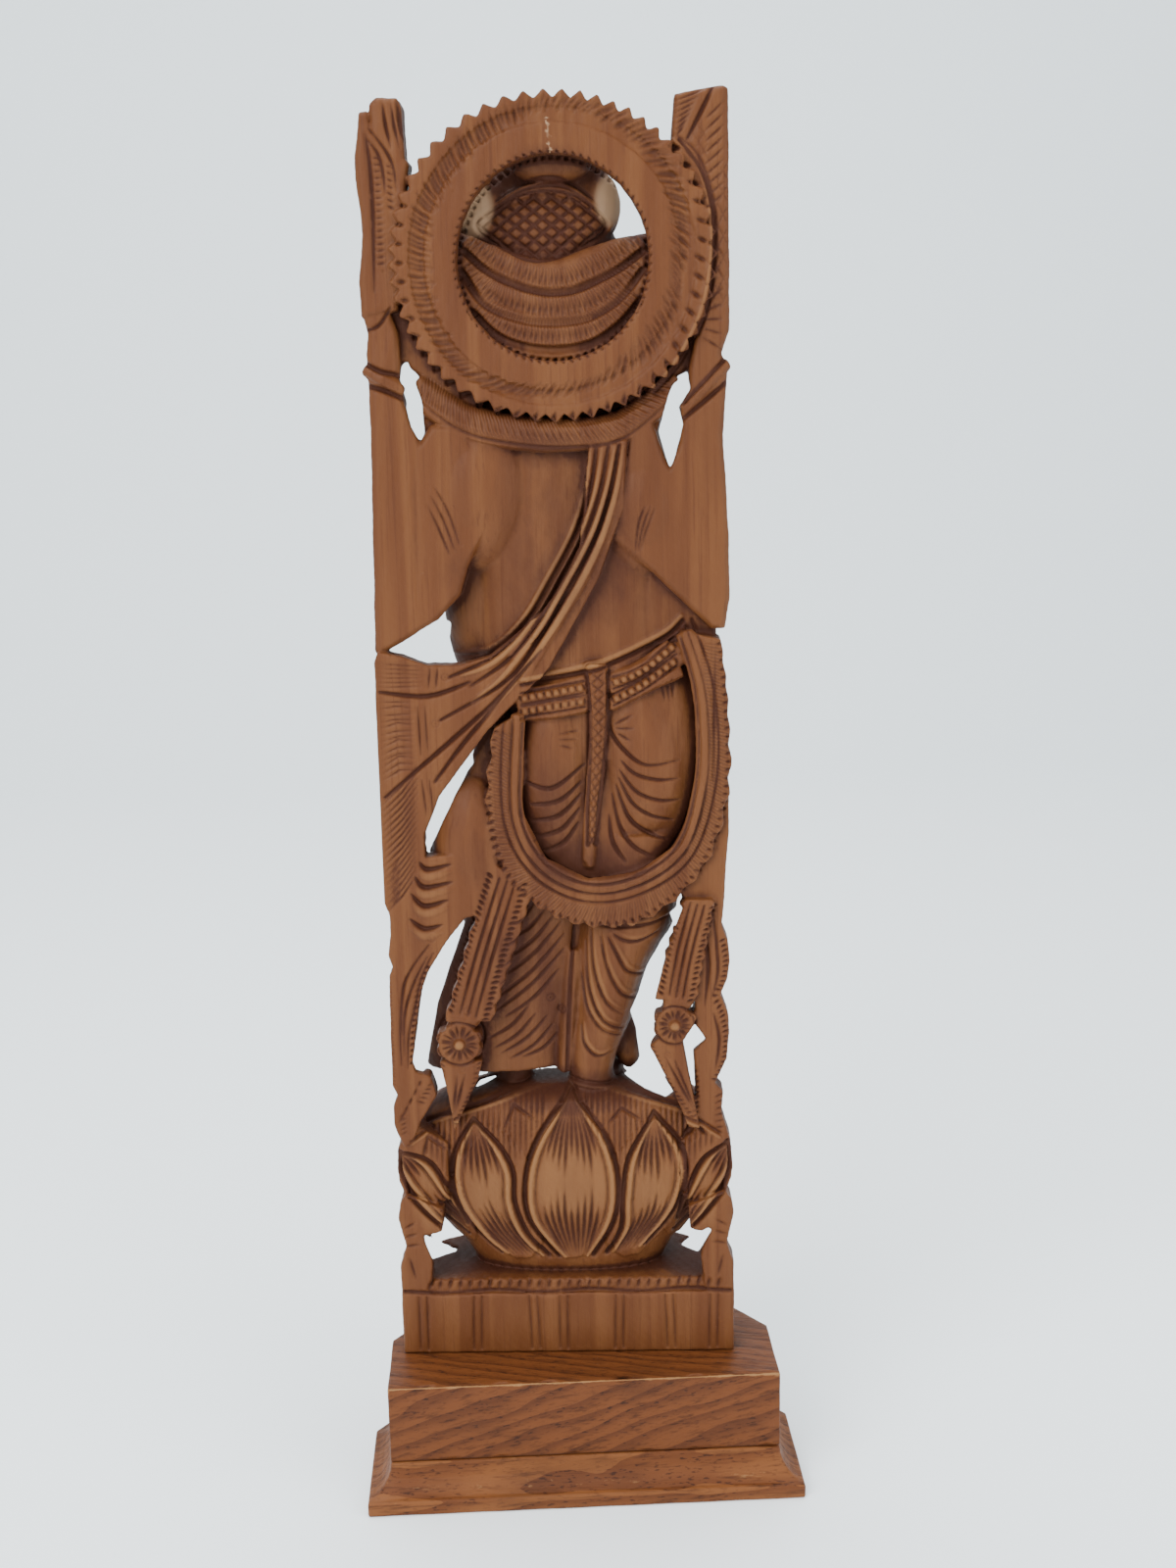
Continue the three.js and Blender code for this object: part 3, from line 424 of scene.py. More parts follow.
class Forms:
    """Rounded forms of the carving, gathered in one bmesh in board millimetres."""

    def __init__(self) -> None:
        """Starts with nothing."""
        self.bm = bmesh.new()

    def egg(self, centre: Sequence[float], half: Sequence[float], lean: float = 0.0) -> None:
        """Adds an egg.

        Args:
            centre: Its u, d, h.
            half: Its half sizes along u, d, h.
            lean: Its turn in the back view, in degrees.
        """
        place = (
            Matrix.Translation(Vector(centre))
            @ Matrix.Rotation(math.radians(lean), 4, "Y")
            @ Matrix.Diagonal((*half, 1.0))
        )
        bmesh.ops.create_uvsphere(self.bm, u_segments=36, v_segments=24, radius=1.0, matrix=place)

    def eggs(self, *eggs: Sequence[Any]) -> None:
        """Adds several eggs, each its centre, half sizes and, where it leans, its turn."""
        for egg in eggs:
            self.egg(*egg)

    def skin(self, places: Sequence[Matrix], power: float = 2.0, sides: int = 36) -> None:
        """Adds a closed form over a row of ovals.

        Args:
            places: One matrix for each oval, which is a circle of radius 1 before it is placed.
            power: 2 for a round section, and more for a squarer one.
            sides: The corners of each oval.
        """
        rings: list[list[bmesh.types.BMVert]] = []
        for index, place in enumerate(places):
            ends = index in (0, len(places) - 1)
            made = bmesh.ops.create_circle(self.bm, cap_ends=ends, cap_tris=False, segments=sides, radius=1.0)
            ring = made["verts"]
            for vert in ring:
                c, s = vert.co.x, vert.co.y
                vert.co.x = math.copysign(abs(c) ** (2 / power), c)
                vert.co.y = math.copysign(abs(s) ** (2 / power), s)
            bmesh.ops.transform(self.bm, matrix=place, verts=ring)
            rings.append(ring)
        edges = []
        for ring in rings:
            members = set(ring)
            edges.append([e for v in ring for e in v.link_edges if e.other_vert(v) in members])
        for first, second in zip(edges, edges[1:]):
            bmesh.ops.bridge_loops(self.bm, edges=list(set(first) | set(second)))

    def stack(self, levels: Sequence[Sequence[float]], power: float = 2.0, grow: float = 0.0) -> None:
        """Adds a body over level ovals.

        Args:
            levels: Each is h, u, d and the half sizes along u and d.
            power: How square its plan is.
            grow: What is added to the half sizes.
        """
        places = []
        for h, u, d, ru, rd in curve(levels, len(levels) * 5):
            size = Matrix.Diagonal((max(ru + grow, 0.3), max(rd + grow, 0.3), 1.0, 1.0))
            places.append(Matrix.Translation((u, d, h)) @ size)
        self.skin(places, power, 48)

    def roll(self, stations: Sequence[Sequence[float]], sides: int = 20) -> None:
        """Adds a rounded limb, cord or fold.

        Args:
            stations: Each is u, d, h and the half width and half thickness.
            sides: The corners of its section.
        """
        line = curve(stations, (len(stations) - 1) * 6 + 1)
        tangents = np.gradient(line[:, :3], axis=0)
        places = []
        across = None
        for station, tangent in zip(line, tangents):
            z = Vector(tangent).normalized()
            guide = across or z.cross(Vector((0, 1, 0.001)))
            y = guide.cross(z).normalized()
            x = z.cross(y).normalized()
            across = z.cross(y)
            turn = Matrix((x, -y, z)).transposed().to_4x4()
            size = Matrix.Diagonal((max(station[3], 0.2), max(station[4], 0.2), 1.0, 1.0))
            places.append(Matrix.Translation(Vector(station[:3])) @ turn @ size)
        self.skin(places, 2.0, sides)


@dataclass
class Halo:
    """The toothed ring behind the head.

    A row of strokes is an angle round the ring, a radius, a stroke's length and its heading,
    and a row of pits has the pit's width before its heading. All angles are in degrees.
    """

    centre: tuple[float, float] = (2.7, 331.0)
    half: tuple[float, float] = (45.6, 44.5)
    teeth: int = 54
    opening: tuple[float, float] = (27.0, 28.0)
    opening_notches: int = 76
    stroke_count: int = 150
    pit_count: int = 36
    chipped_width: float = 2.0
    strokes: tuple[Sequence[float], ...] = (
        (190, 40.0, 5.0, -1), (225, 41.0, 5.0, 0), (240, 40.0, 6.0, 14), (252, 38.7, 5.0, 27),
        (264, 37.6, 4.0, 48), (287, 36.8, 3.2, 65), (300, 36.6, 4.4, 78), (316, 38.5, 6.0, 116),
        (338, 37.2, 4.6, 121), (352, 36.4, 5.0, 127), (372, 38.8, 5.3, 150), (390, 41.4, 5.6, 172),
        (411, 44.0, 6.2, 200), (432, 42.6, 3.6, 212), (450, 42.6, 3.2, 250), (472, 41.4, 4.6, 292),
        (503, 39.8, 5.6, 293), (518, 40.8, 5.6, 322), (540, 39.7, 5.6, 345), (550, 40.0, 5.0, 359),
    )  # fmt: skip
    pits: tuple[Sequence[float], ...] = (
        (160, 43.1, 2.6, 1.3, -14), (185, 42.4, 3.0, 1.5, -4), (200, 42.7, 3.2, 1.9, 0),
        (212, 43.2, 3.6, 2.4, 2),
        (238, 44.0, 4.2, 2.5, 14), (256, 42.8, 3.4, 2.5, 44), (268, 42.4, 3.4, 2.6, 68),
        (290, 42.4, 3.8, 3.0, 86),
        (306, 42.5, 3.8, 3.0, 100), (320, 41.7, 3.8, 2.1, 122), (336, 40.9, 3.9, 1.7, 134),
        (358, 40.9, 4.0, 1.5, 150), (376, 42.6, 3.9, 1.4, 156), (400, 44.6, 4.0, 1.4, 170),
    )  # fmt: skip
    right_rim: Path = (
        (307, 44.8), (320, 44.1), (340, 43.5), (360, 43.8), (378, 45.6), (393, 47.0), (402, 45.8),
    )  # fmt: skip

    def _at(self, inset: float, degrees: float) -> np.ndarray:
        """Returns the u, h of a point that lies in from the rim at an angle round the centre."""
        return self.centre + (np.array(self.half) - inset) * unit(degrees)

    def _polar(self, radius: float, degrees: float) -> np.ndarray:
        """Returns the u, h of a point at a radius and an angle round the ring's centre."""
        return self.centre + radius * unit(degrees)

    @staticmethod
    def _read(table: Sequence[Sequence[float]], degrees: float) -> list[float]:
        """Returns a table's values at an angle, blended between its rows."""
        angles, *columns = np.array(table).T
        return [float(np.interp(degrees, angles, column)) for column in columns]

    def carve(self, relief: Relief) -> None:
        """Cuts the strokes that turn round the ring, the pits outside them and the saw-toothed opening."""
        for k in range(self.stroke_count):
            angle = self.strokes[0][0] + 360.0 * (k + 0.2 * math.sin(k * 1.7)) / self.stroke_count
            radius, length, heading = self._read(self.strokes, angle)
            start = self._polar(radius + 0.4 * math.sin(k * 2.9), angle)
            reach = unit(heading) * length * (1.15 + 0.12 * math.sin(k * 4.1))
            bend = 0.25 * unit(heading - 90)
            relief.gouge([start, start + reach * 0.5 + bend, start + reach], 1.75, 1.1, 0.5, dark=0.5)
        for angle in np.linspace(self.pits[0][0], self.pits[-1][0], self.pit_count):
            radius, length, width, heading = self._read(self.pits, angle)
            middle, reach = self._polar(radius, angle), unit(heading) * length
            if width > self.chipped_width:
                relief.wedge(middle - reach * 0.45, middle + reach * 0.55, width, 1.2)
            else:
                relief.gouge([middle - reach / 2, middle + reach / 2], width * 1.15, 1.2, 0.8, Cut.ROUND, 0.6)
        rim = curve([self._polar(radius, degrees) for degrees, radius in self.right_rim])
        relief.ridge(rim, 1.5, 0.55, 0.2)
        relief.gouge(rim + (rim - self.centre) / 44 * 1.4, 1.4, 0.9, 0.2)
        for degrees in np.arange(self.opening_notches) * 360 / self.opening_notches:
            edge = self.centre + (np.array(self.opening) - 0.6) * unit(degrees)
            relief.wedge(edge, edge + 1.9 * unit(degrees) + unit(degrees + 90), 1.6, 1.3)

    def carve_front(self, relief: Relief) -> None:
        """Cuts plainer rays on the front of the ring."""
        for k in range(self.teeth):
            even = (k + 0.5) * 2 * math.pi / self.teeth + math.radians(92)
            degrees = math.degrees(even + 0.04 * (1 - math.cos(3 * (even - 1.6))))
            relief.gouge([self._at(1.6, degrees), self._at(10.5, degrees)], 1.3, 0.7, 0.6)
        relief.gouge([self._at(12.4, degrees) for degrees in np.linspace(0, 360, 100)], 0.9, 0.5, 0)


@dataclass
class HeadBack:
    """The cap, the tiers of hair and the collar, as they show from behind.

    A tier is the depth of its middle, and its points' u, h and radius.
    """

    cap: Path = (
        (-19.2, 341.1), (-12.1, 346.5), (-5.1, 349.3), (2.7, 349.9), (10.4, 347.9),
        (18.0, 340.7), (10.1, 334.2), (-0.9, 330.8), (-10.1, 333.8),
    )  # fmt: skip
    brow: Path = ((-13.5, 344.6), (-6.6, 348.6), (0.4, 350.0), (7.3, 349.2), (14.6, 344.4))
    hair_lines: tuple[Path, ...] = (
        ((-22.0, 334.8), (-14.7, 328.8), (-3.2, 324.0), (6.5, 323.4), (15.9, 326.8), (21.8, 329.8),
         (27.6, 333.8)),
        ((-23.0, 329.6), (-16.8, 320.2), (-6.5, 316.0), (2.5, 314.9), (12.2, 316.0), (21.0, 320.8),
         (27.6, 328.6)),
        ((-20.0, 318.0), (-13.4, 311.6), (-5.0, 308.3), (4.0, 307.4), (13.0, 309.0), (21.0, 313.8),
         (26.6, 320.0)),
    )
    tiers: tuple[tuple[float, Sequence[Sequence[float]]], ...] = (
        (11.4, ((-25.6, 337.4, 2.4), (-14.7, 331.9, 3.5), (-3.2, 327.6, 4.0), (6.5, 327.6, 4.5),
                (15.9, 330.8, 4.3),
                (21.8, 333.2, 3.5), (31.4, 335.6, 2.6))),
        (9.4, ((-26.4, 332.6, 3.0), (-16.8, 324.8, 4.8), (-6.5, 320.6, 4.8), (2.5, 319.4, 4.7),
               (12.2, 320.6, 4.8),
               (21.0, 325.0, 4.4), (31.6, 331.6, 3.6))),
        (7.4, ((-24.4, 322.4, 4.0), (-13.4, 315.6, 4.3), (-5.0, 312.6, 4.6), (4.0, 311.6, 4.5),
               (13.0, 313.2, 4.5),
               (21.0, 317.6, 4.2), (30.4, 325.0, 4.2))),
    )  # fmt: skip
    collar: Path = ((-37.0, 296.0), (-24.0, 286.8), (-8.0, 282.8), (7.0, 281.8), (22.0, 284.2), (37.0, 296.0))
    bow: float = 0.0022

    def model(self, forms: Forms) -> None:
        """Adds the rounded skull, cap, ears, tiers and collar, which bow forward at their middle."""
        forms.eggs(
            ((0.5, 25, 334), (20, 12.5, 17)), ((-0.5, 18.2, 340), (17.6, 6.4, 10.2)),
            ((2.4, 19, 312), (27.2, 10.2, 19.2)), ((2.4, 13.4, 357), (11.4, 6.1, 4.9)),
            ((-18, 20, 345), (8.7, 6.1, 11.1)), ((15.6, 21, 346), (6.1, 5.7, 9.5)),
        )  # fmt: skip
        for depth, line in self.tiers:
            forms.roll([(u, depth + self.bow * (u - 2.4) ** 2, h, r, r * 0.95) for u, h, r in line], 24)
        forms.roll([(u, 6.0 + self.bow * u * u, h + 1.6, 4.1, 3.9) for u, h in self.collar], 24)

    def carve(self, relief: Relief) -> None:
        """Cuts the cap's diamonds, the hair's fine strokes and the collar's fringe."""
        outline = curve(self.cap, 60, closed=True)
        relief.lattice(outline, 3.1, math.radians(38), 1.5, 1.0)
        # Painted shade, with some gathered stain, over the cap, in the dip above it and over the hair.
        relief.blots(
            (0.0, 340.5, 22.0, 13.0, 0.42), (2.4, 357.0, 14.0, 6.0, 0.6), (2.4, 318.0, 34.0, 20.0, 0.22),
        )  # fmt: skip
        relief.gouge(np.vstack([outline, outline[:1]]), 1.3, 1.1, 0)
        for offset, width in ((1.3, 1.4), (3.0, 1.6)):
            relief.gouge(curve(self.brow) + (0, offset), width, 1.1)
        for index, line in enumerate(self.hair_lines):
            bottom = curve(line)
            relief.strands(bottom, (-0.6, 7.4 if index else 6.0), 0.12)
            relief.hatch(bottom, 1.7, (-0.2, 4.8), 0.1, 1.2, 0.55)
            relief.gouge(bottom - (0, 1.1), 3.0, 1.7, 0.2, Cut.ROUND, 0.6)
        collar = curve(self.collar) - (0, 1.2)
        relief.strands(collar, (-0.6, 6.6), 0.55)
        relief.hatch(collar, 1.9, (0.3, 4.6), -0.5, 1.2, 0.5)
        relief.gouge(collar - (0, 1.2), 1.5, 0.8, 0.2)


@dataclass
class HeldThings:
    """The budded leaf and the feathered blade at the top corners."""

    leaf_edge: Path = ((-51.4, 368.0), (-51.7, 356.0), (-51.4, 344.0), (-50.4, 339.0))
    lines: tuple[tuple[Path, float, float, float], ...] = (
        (((-47.9, 365.0), (-46.9, 355.8), (-46.7, 341.3), (-47.2, 323.0)), 1.8, 1.3, 0.5),
        (((-47.6, 363.7), (-44.6, 359.6), (-43.4, 354.3), (-43.0, 349.0)), 1.5, 1.1, 0.5),
        (((-46.9, 366.4), (-42.8, 361.0), (-40.6, 356.4), (-39.8, 350.0)), 1.4, 1.1, 0.5),
        (((-50.2, 312.6), (-46.4, 314.0), (-42.7, 318.9)), 1.6, 1.3, 0.4),
        (((47.2, 375.1), (44.7, 370.0), (40.2, 361.8)), 1.8, 1.4, 0.3),
        (((37.9, 361.8), (43.9, 353.8), (47.0, 343.6), (47.5, 332.0), (46.0, 318.7),
          (42.9, 309.9)), 1.9, 1.4, 0.2),
    )
    feathers: Path = ((48.4, 352), (50.9, 356), (50.9, 318), (47.2, 316), (48.4, 332))
    upper_feathers: Path = ((39.5, 361.5), (44.4, 366.5), (47.0, 356.0), (44.0, 353.4))

    def carve(self, relief: Relief) -> None:
        """Cuts the leaf's veins and edges, and the blade's feathering."""
        for path, width, depth, taper in self.lines:
            relief.gouge(curve(path), width, depth, taper)
        relief.hatch(curve(self.leaf_edge), 1.5, (-0.3, 1.0), 0.68, 1.1, 0.7)
        relief.rank(17, ((-46.2, 330.5), (-43.7, 330.8)), (0, 1.75), 1.1, 0.84, 0.5)
        relief.rank(7, ((-42.6, 346.0), (-40.6, 345.0)), (0, 1.8), 1.1, 0.84, 0.5)
        relief.rank(7, ((37.2, 362.6), (39.6, 365.6)), ((0, 1.55), (0.75, 1.45)), 1.2, 0.98, 0.5)
        relief.rank(9, ((45.4, 367.0), (50.4, 371.5)), ((-0.1, -3.0), (0, -3.0)), 1.1, 0.84, 0.4)
        relief.rank(5, ((44.0, 309.0), (49.8, 305.5)), ((0.4, 2.4), (0, 4.2)), 1.2, 0.84, 0.5)
        for u in (-42.9, -40.6, -38.9):
            relief.gouge([(u, 373.4), (u + 0.7, 367.0), (u + 2.0, 361.0)], 1.5, 1.3, 0.6)
        relief.lattice(np.array(self.feathers), 2.7, math.radians(62), 0.8, 0.55)
        relief.lattice(np.array(self.upper_feathers), 2.3, math.radians(60), 0.8, 0.5)


@dataclass
class ArmsAndBack:
    """The rear arms, their bangles, and the bare back between them."""

    back: tuple[Sequence[float], ...] = (
        (205, 9, 21, 31, 15), (222, 7.5, 20.5, 31.5, 15.5), (240, 7, 20, 31, 15), (258, 5, 19.5, 32, 13.8),
        (274, 2.4, 19, 36, 12.5), (284, 2, 19, 35, 11.5), (294, 2, 19, 26, 10), (304, 2, 19, 18, 9),
    )  # fmt: skip
    bangles: tuple[Path, ...] = (
        ((-50.9, 303.6), (-46.1, 301.3), (-41.1, 299.9), (-39.4, 296.6)),
        ((-50.9, 297.6), (-45.6, 296.0), (-39.8, 293.4)),
        ((38.4, 290.9), (44.4, 296.9), (50.6, 303.0)),
        ((38.4, 286.6), (44.3, 291.2), (50.9, 296.6)),
    )
    scored: tuple[Path, ...] = (
        ((-32.6, 269.0), (-28.9, 261.9), (-25.9, 252.5)),
        ((-33.7, 266.6), (-30.3, 259.6), (-27.4, 251.0)),
        ((-34.8, 264.0), (-31.8, 257.3), (-28.9, 249.8)),
        ((27.7, 262.9), (25.7, 257.9), (24.4, 248.9)),
        ((30.4, 262.1), (28.0, 256.2), (26.0, 250.0)),
        ((29.2, 262.6), (26.9, 257.0), (25.2, 249.6)),
    )
    left_edge: Path = ((-37.2, 281.0), (-38.0, 269.1), (-38.4, 250.0), (-38.6, 236.0))

    def model(self, forms: Forms) -> None:
        """Adds the rounded back, flanks and shoulder blades."""
        forms.stack(self.back, 2.5, 0.1)
        forms.eggs(
            ((-21, 22, 238), (11.6, 11.1, 31.1)), ((32, 22, 238), (14.6, 11.1, 30.1)),
            ((-20.5, 14.5, 268), (17, 12.9, 25)), ((27, 14.5, 262), (17, 12.9, 24)),
        )  # fmt: skip

    def carve(self, relief: Relief) -> None:
        """Cuts the bangles, the fine scored lines and the edge of each arm."""
        relief.strokes(self.bangles, 2, 1.5, 0.1)
        relief.strokes(self.scored, 1.1, 0.85, 0.5)
        relief.gouge(curve(self.left_edge), 2.4, 0.59, 0.8)
        # Painted shade, with some gathered stain, in the hollows of the back and arms, under the collar and
        # by the hip.
        relief.blots(
            (-1.0, 262.0, 15.0, 26.0, 0.42), (-12.0, 240.0, 12.0, 18.0, 0.35), (19.0, 256.0, 10.0, 22.0, 0.4),
            (8.0, 236.0, 14.0, 20.0, 0.45), (26.0, 236.0, 16.0, 14.0, 0.3), (0.0, 279.0, 34.0, 6.0, 0.35),
            (-28.0, 246.0, 8.0, 14.0, 0.4), (-22.0, 160.0, 9.0, 18.0, 0.4),
        )  # fmt: skip


@dataclass
class Sash:
    """The cloth over the shoulder and its fan down the left edge."""

    ridges: tuple[Path, ...] = (
        ((12.4, 279.5), (10.6, 268.2), (6.8, 256.2), (-0.4, 243.0), (-8.6, 230.0), (-18.6, 221.6),
         (-30.0, 219.4)),
        ((15.6, 279.5), (13.4, 267.4), (9.2, 255.4), (1.8, 242.4), (-6.2, 229.2), (-16.8, 218.6),
         (-26.6, 214.8)),
        ((19.2, 279.5), (16.6, 267.6), (12.0, 255.0), (4.6, 241.6), (-4.6, 226.6), (-14.4, 214.4),
         (-23.6, 206.8)),
        ((21.4, 279.5), (19.4, 267.6), (15.0, 254.0), (8.2, 240.6), (-1.6, 225.2), (-12.0, 211.4),
         (-22.0, 200.6)),
    )
    grooves: tuple[Path, ...] = (
        ((14.0, 279.8), (12.1, 268.0), (8.0, 255.8), (0.9, 242.6), (-7.3, 229.6), (-17.4, 220.0),
         (-30.2, 214.2)),
        ((17.4, 279.8), (14.9, 267.4), (10.4, 255.0), (3.2, 242.0), (-5.2, 228.0), (-13.4, 218.6),
         (-24.0, 211.6)),
        ((20.4, 279.8), (17.8, 267.6), (13.4, 254.4), (6.4, 241.2), (-3.2, 225.8), (-13.2, 213.2),
         (-33.1, 201.6)),
        ((-3.0, 222.0), (-14.7, 209.0), (-28.8, 196.6), (-38.8, 188.2), (-50.4, 178.6)),
        ((-5.1, 219.6), (-13.6, 210.2), (-20.2, 202.0), (-27.4, 193.6), (-35.4, 183.2)),
        ((-24.0, 212.8), (-36.4, 208.8), (-50.6, 210.2)),
    )
    rings: Path = ((-31.3, 214.4), (-34.6, 200.6), (-34.2, 184.4), (-38.2, 135.3))
    creases: tuple[Path, ...] = (
        ((-44.6, 141.5), (-40.2, 138.3), (-34.7, 139.5)),
        ((-43.9, 149.3), (-39.9, 145.3), (-32.6, 147.2)),
        ((-42.4, 154.4), (-39.7, 151.1), (-31.2, 152.7)),
        ((-41.0, 159.0), (-38.6, 156.6), (-31.4, 158.2)),
    )
    tail: tuple[Path, ...] = (
        ((-38.9, 133.4), (-44.6, 125.7), (-47.4, 118.8), (-48.8, 104.7), (-48.8, 94.9)),
        ((-37.7, 130.8), (-41.3, 123.9), (-43.6, 115.2), (-46.2, 104.7), (-46.9, 94.0)),
        ((-39.6, 129.6), (-44.4, 120.4), (-47.4, 110.0), (-47.8, 98.0)),
    )
    tail_edge: Path = ((-39.6, 126.0), (-42.6, 118.0), (-44.6, 106.0), (-45.2, 96.0))
    board_edge: Path = ((-51.4, 121.0), (-51.6, 104.0), (-51.4, 89.0))

    def carve(self, relief: Relief) -> None:
        """Cuts the cloth's folds, its fringes and the punched rings."""
        for line in self.ridges:
            relief.ridge(curve(line), 2.4, 0.8, 0.5)
        relief.strokes(self.grooves, 2.1, 1.7, 0.35)
        for u, h in self.rings:
            relief.punch(u, h)
        relief.rank(2, ((-35.5, 217.4), (-36.4, 210.8)), (2.2, 0), 1.1, 0.94, 0.4)
        relief.rank(2, ((-39.6, 205.9), (-39.2, 191.2)), (2.1, 0), 1.1, 0.94, 0.4)
        relief.rank(2, ((-39.2, 184.0), (-38.2, 173.0)), (2.1, 0), 1.1, 0.94, 0.4)
        relief.rank(6, ((-50.8, 218.6), (-36.9, 217.4)), ((0, -1.4), (0, -1.1)), 1, 0.74, 0.5)
        for k in range(13):
            h = 207.2 - k * 1.65
            stroke = ((-50.8, h - k * 0.3), (-45.6, h + 0.5 * math.sin(k * 2.0)), (-40.4, h - 0.2))
            relief.gouge(stroke, 1, 0.81, 0.6)
        fan = ((0, -2.05), (-0.07, -2.1), (-0.14, -2.15))
        relief.rank(17, ((-51.2, 176.4), (-45.25, 182.1), (-39.9, 189.0)), fan, 1.1, 0.94, 0.5)
        relief.rank(8, ((-50.8, 142.8), (-45.6, 152.2)), ((0, 1.5), (0, 1.4)), 1, 0.81, 0.6)
        relief.strokes(self.creases, 2.1, 1.6, 0.6)
        for crease in self.creases:
            relief.ridge(curve(crease) - (0, 2.2), 3.0, 0.5, 0.6)
        relief.strokes(self.tail, 1.4, 1.1, 0.4)
        relief.hatch(curve(self.tail_edge), 1.9, (-1.4, 1.2), -0.5, 1.5, 1.4)
        relief.hatch(curve(self.board_edge), 1.3, (-0.2, 1.0), 0.38, 0.94, 0.6)
        relief.rank(5, ((-50.4, 76.0), (-48.6, 79.8)), ((1.6, 3.0), (1.4, 2.6)), 1.2, 0.94, 0.5)
        relief.rank(5, ((-44.8, 83.5), (-42.0, 82.6)), ((0.9, 1.2), (0.8, 1.6)), 1.2, 0.94, 0.5)
        relief.rank(5, ((-50.0, 72.4), (-47.8, 73.6)), (0, 1.5), 1, 0.81, 0.5)


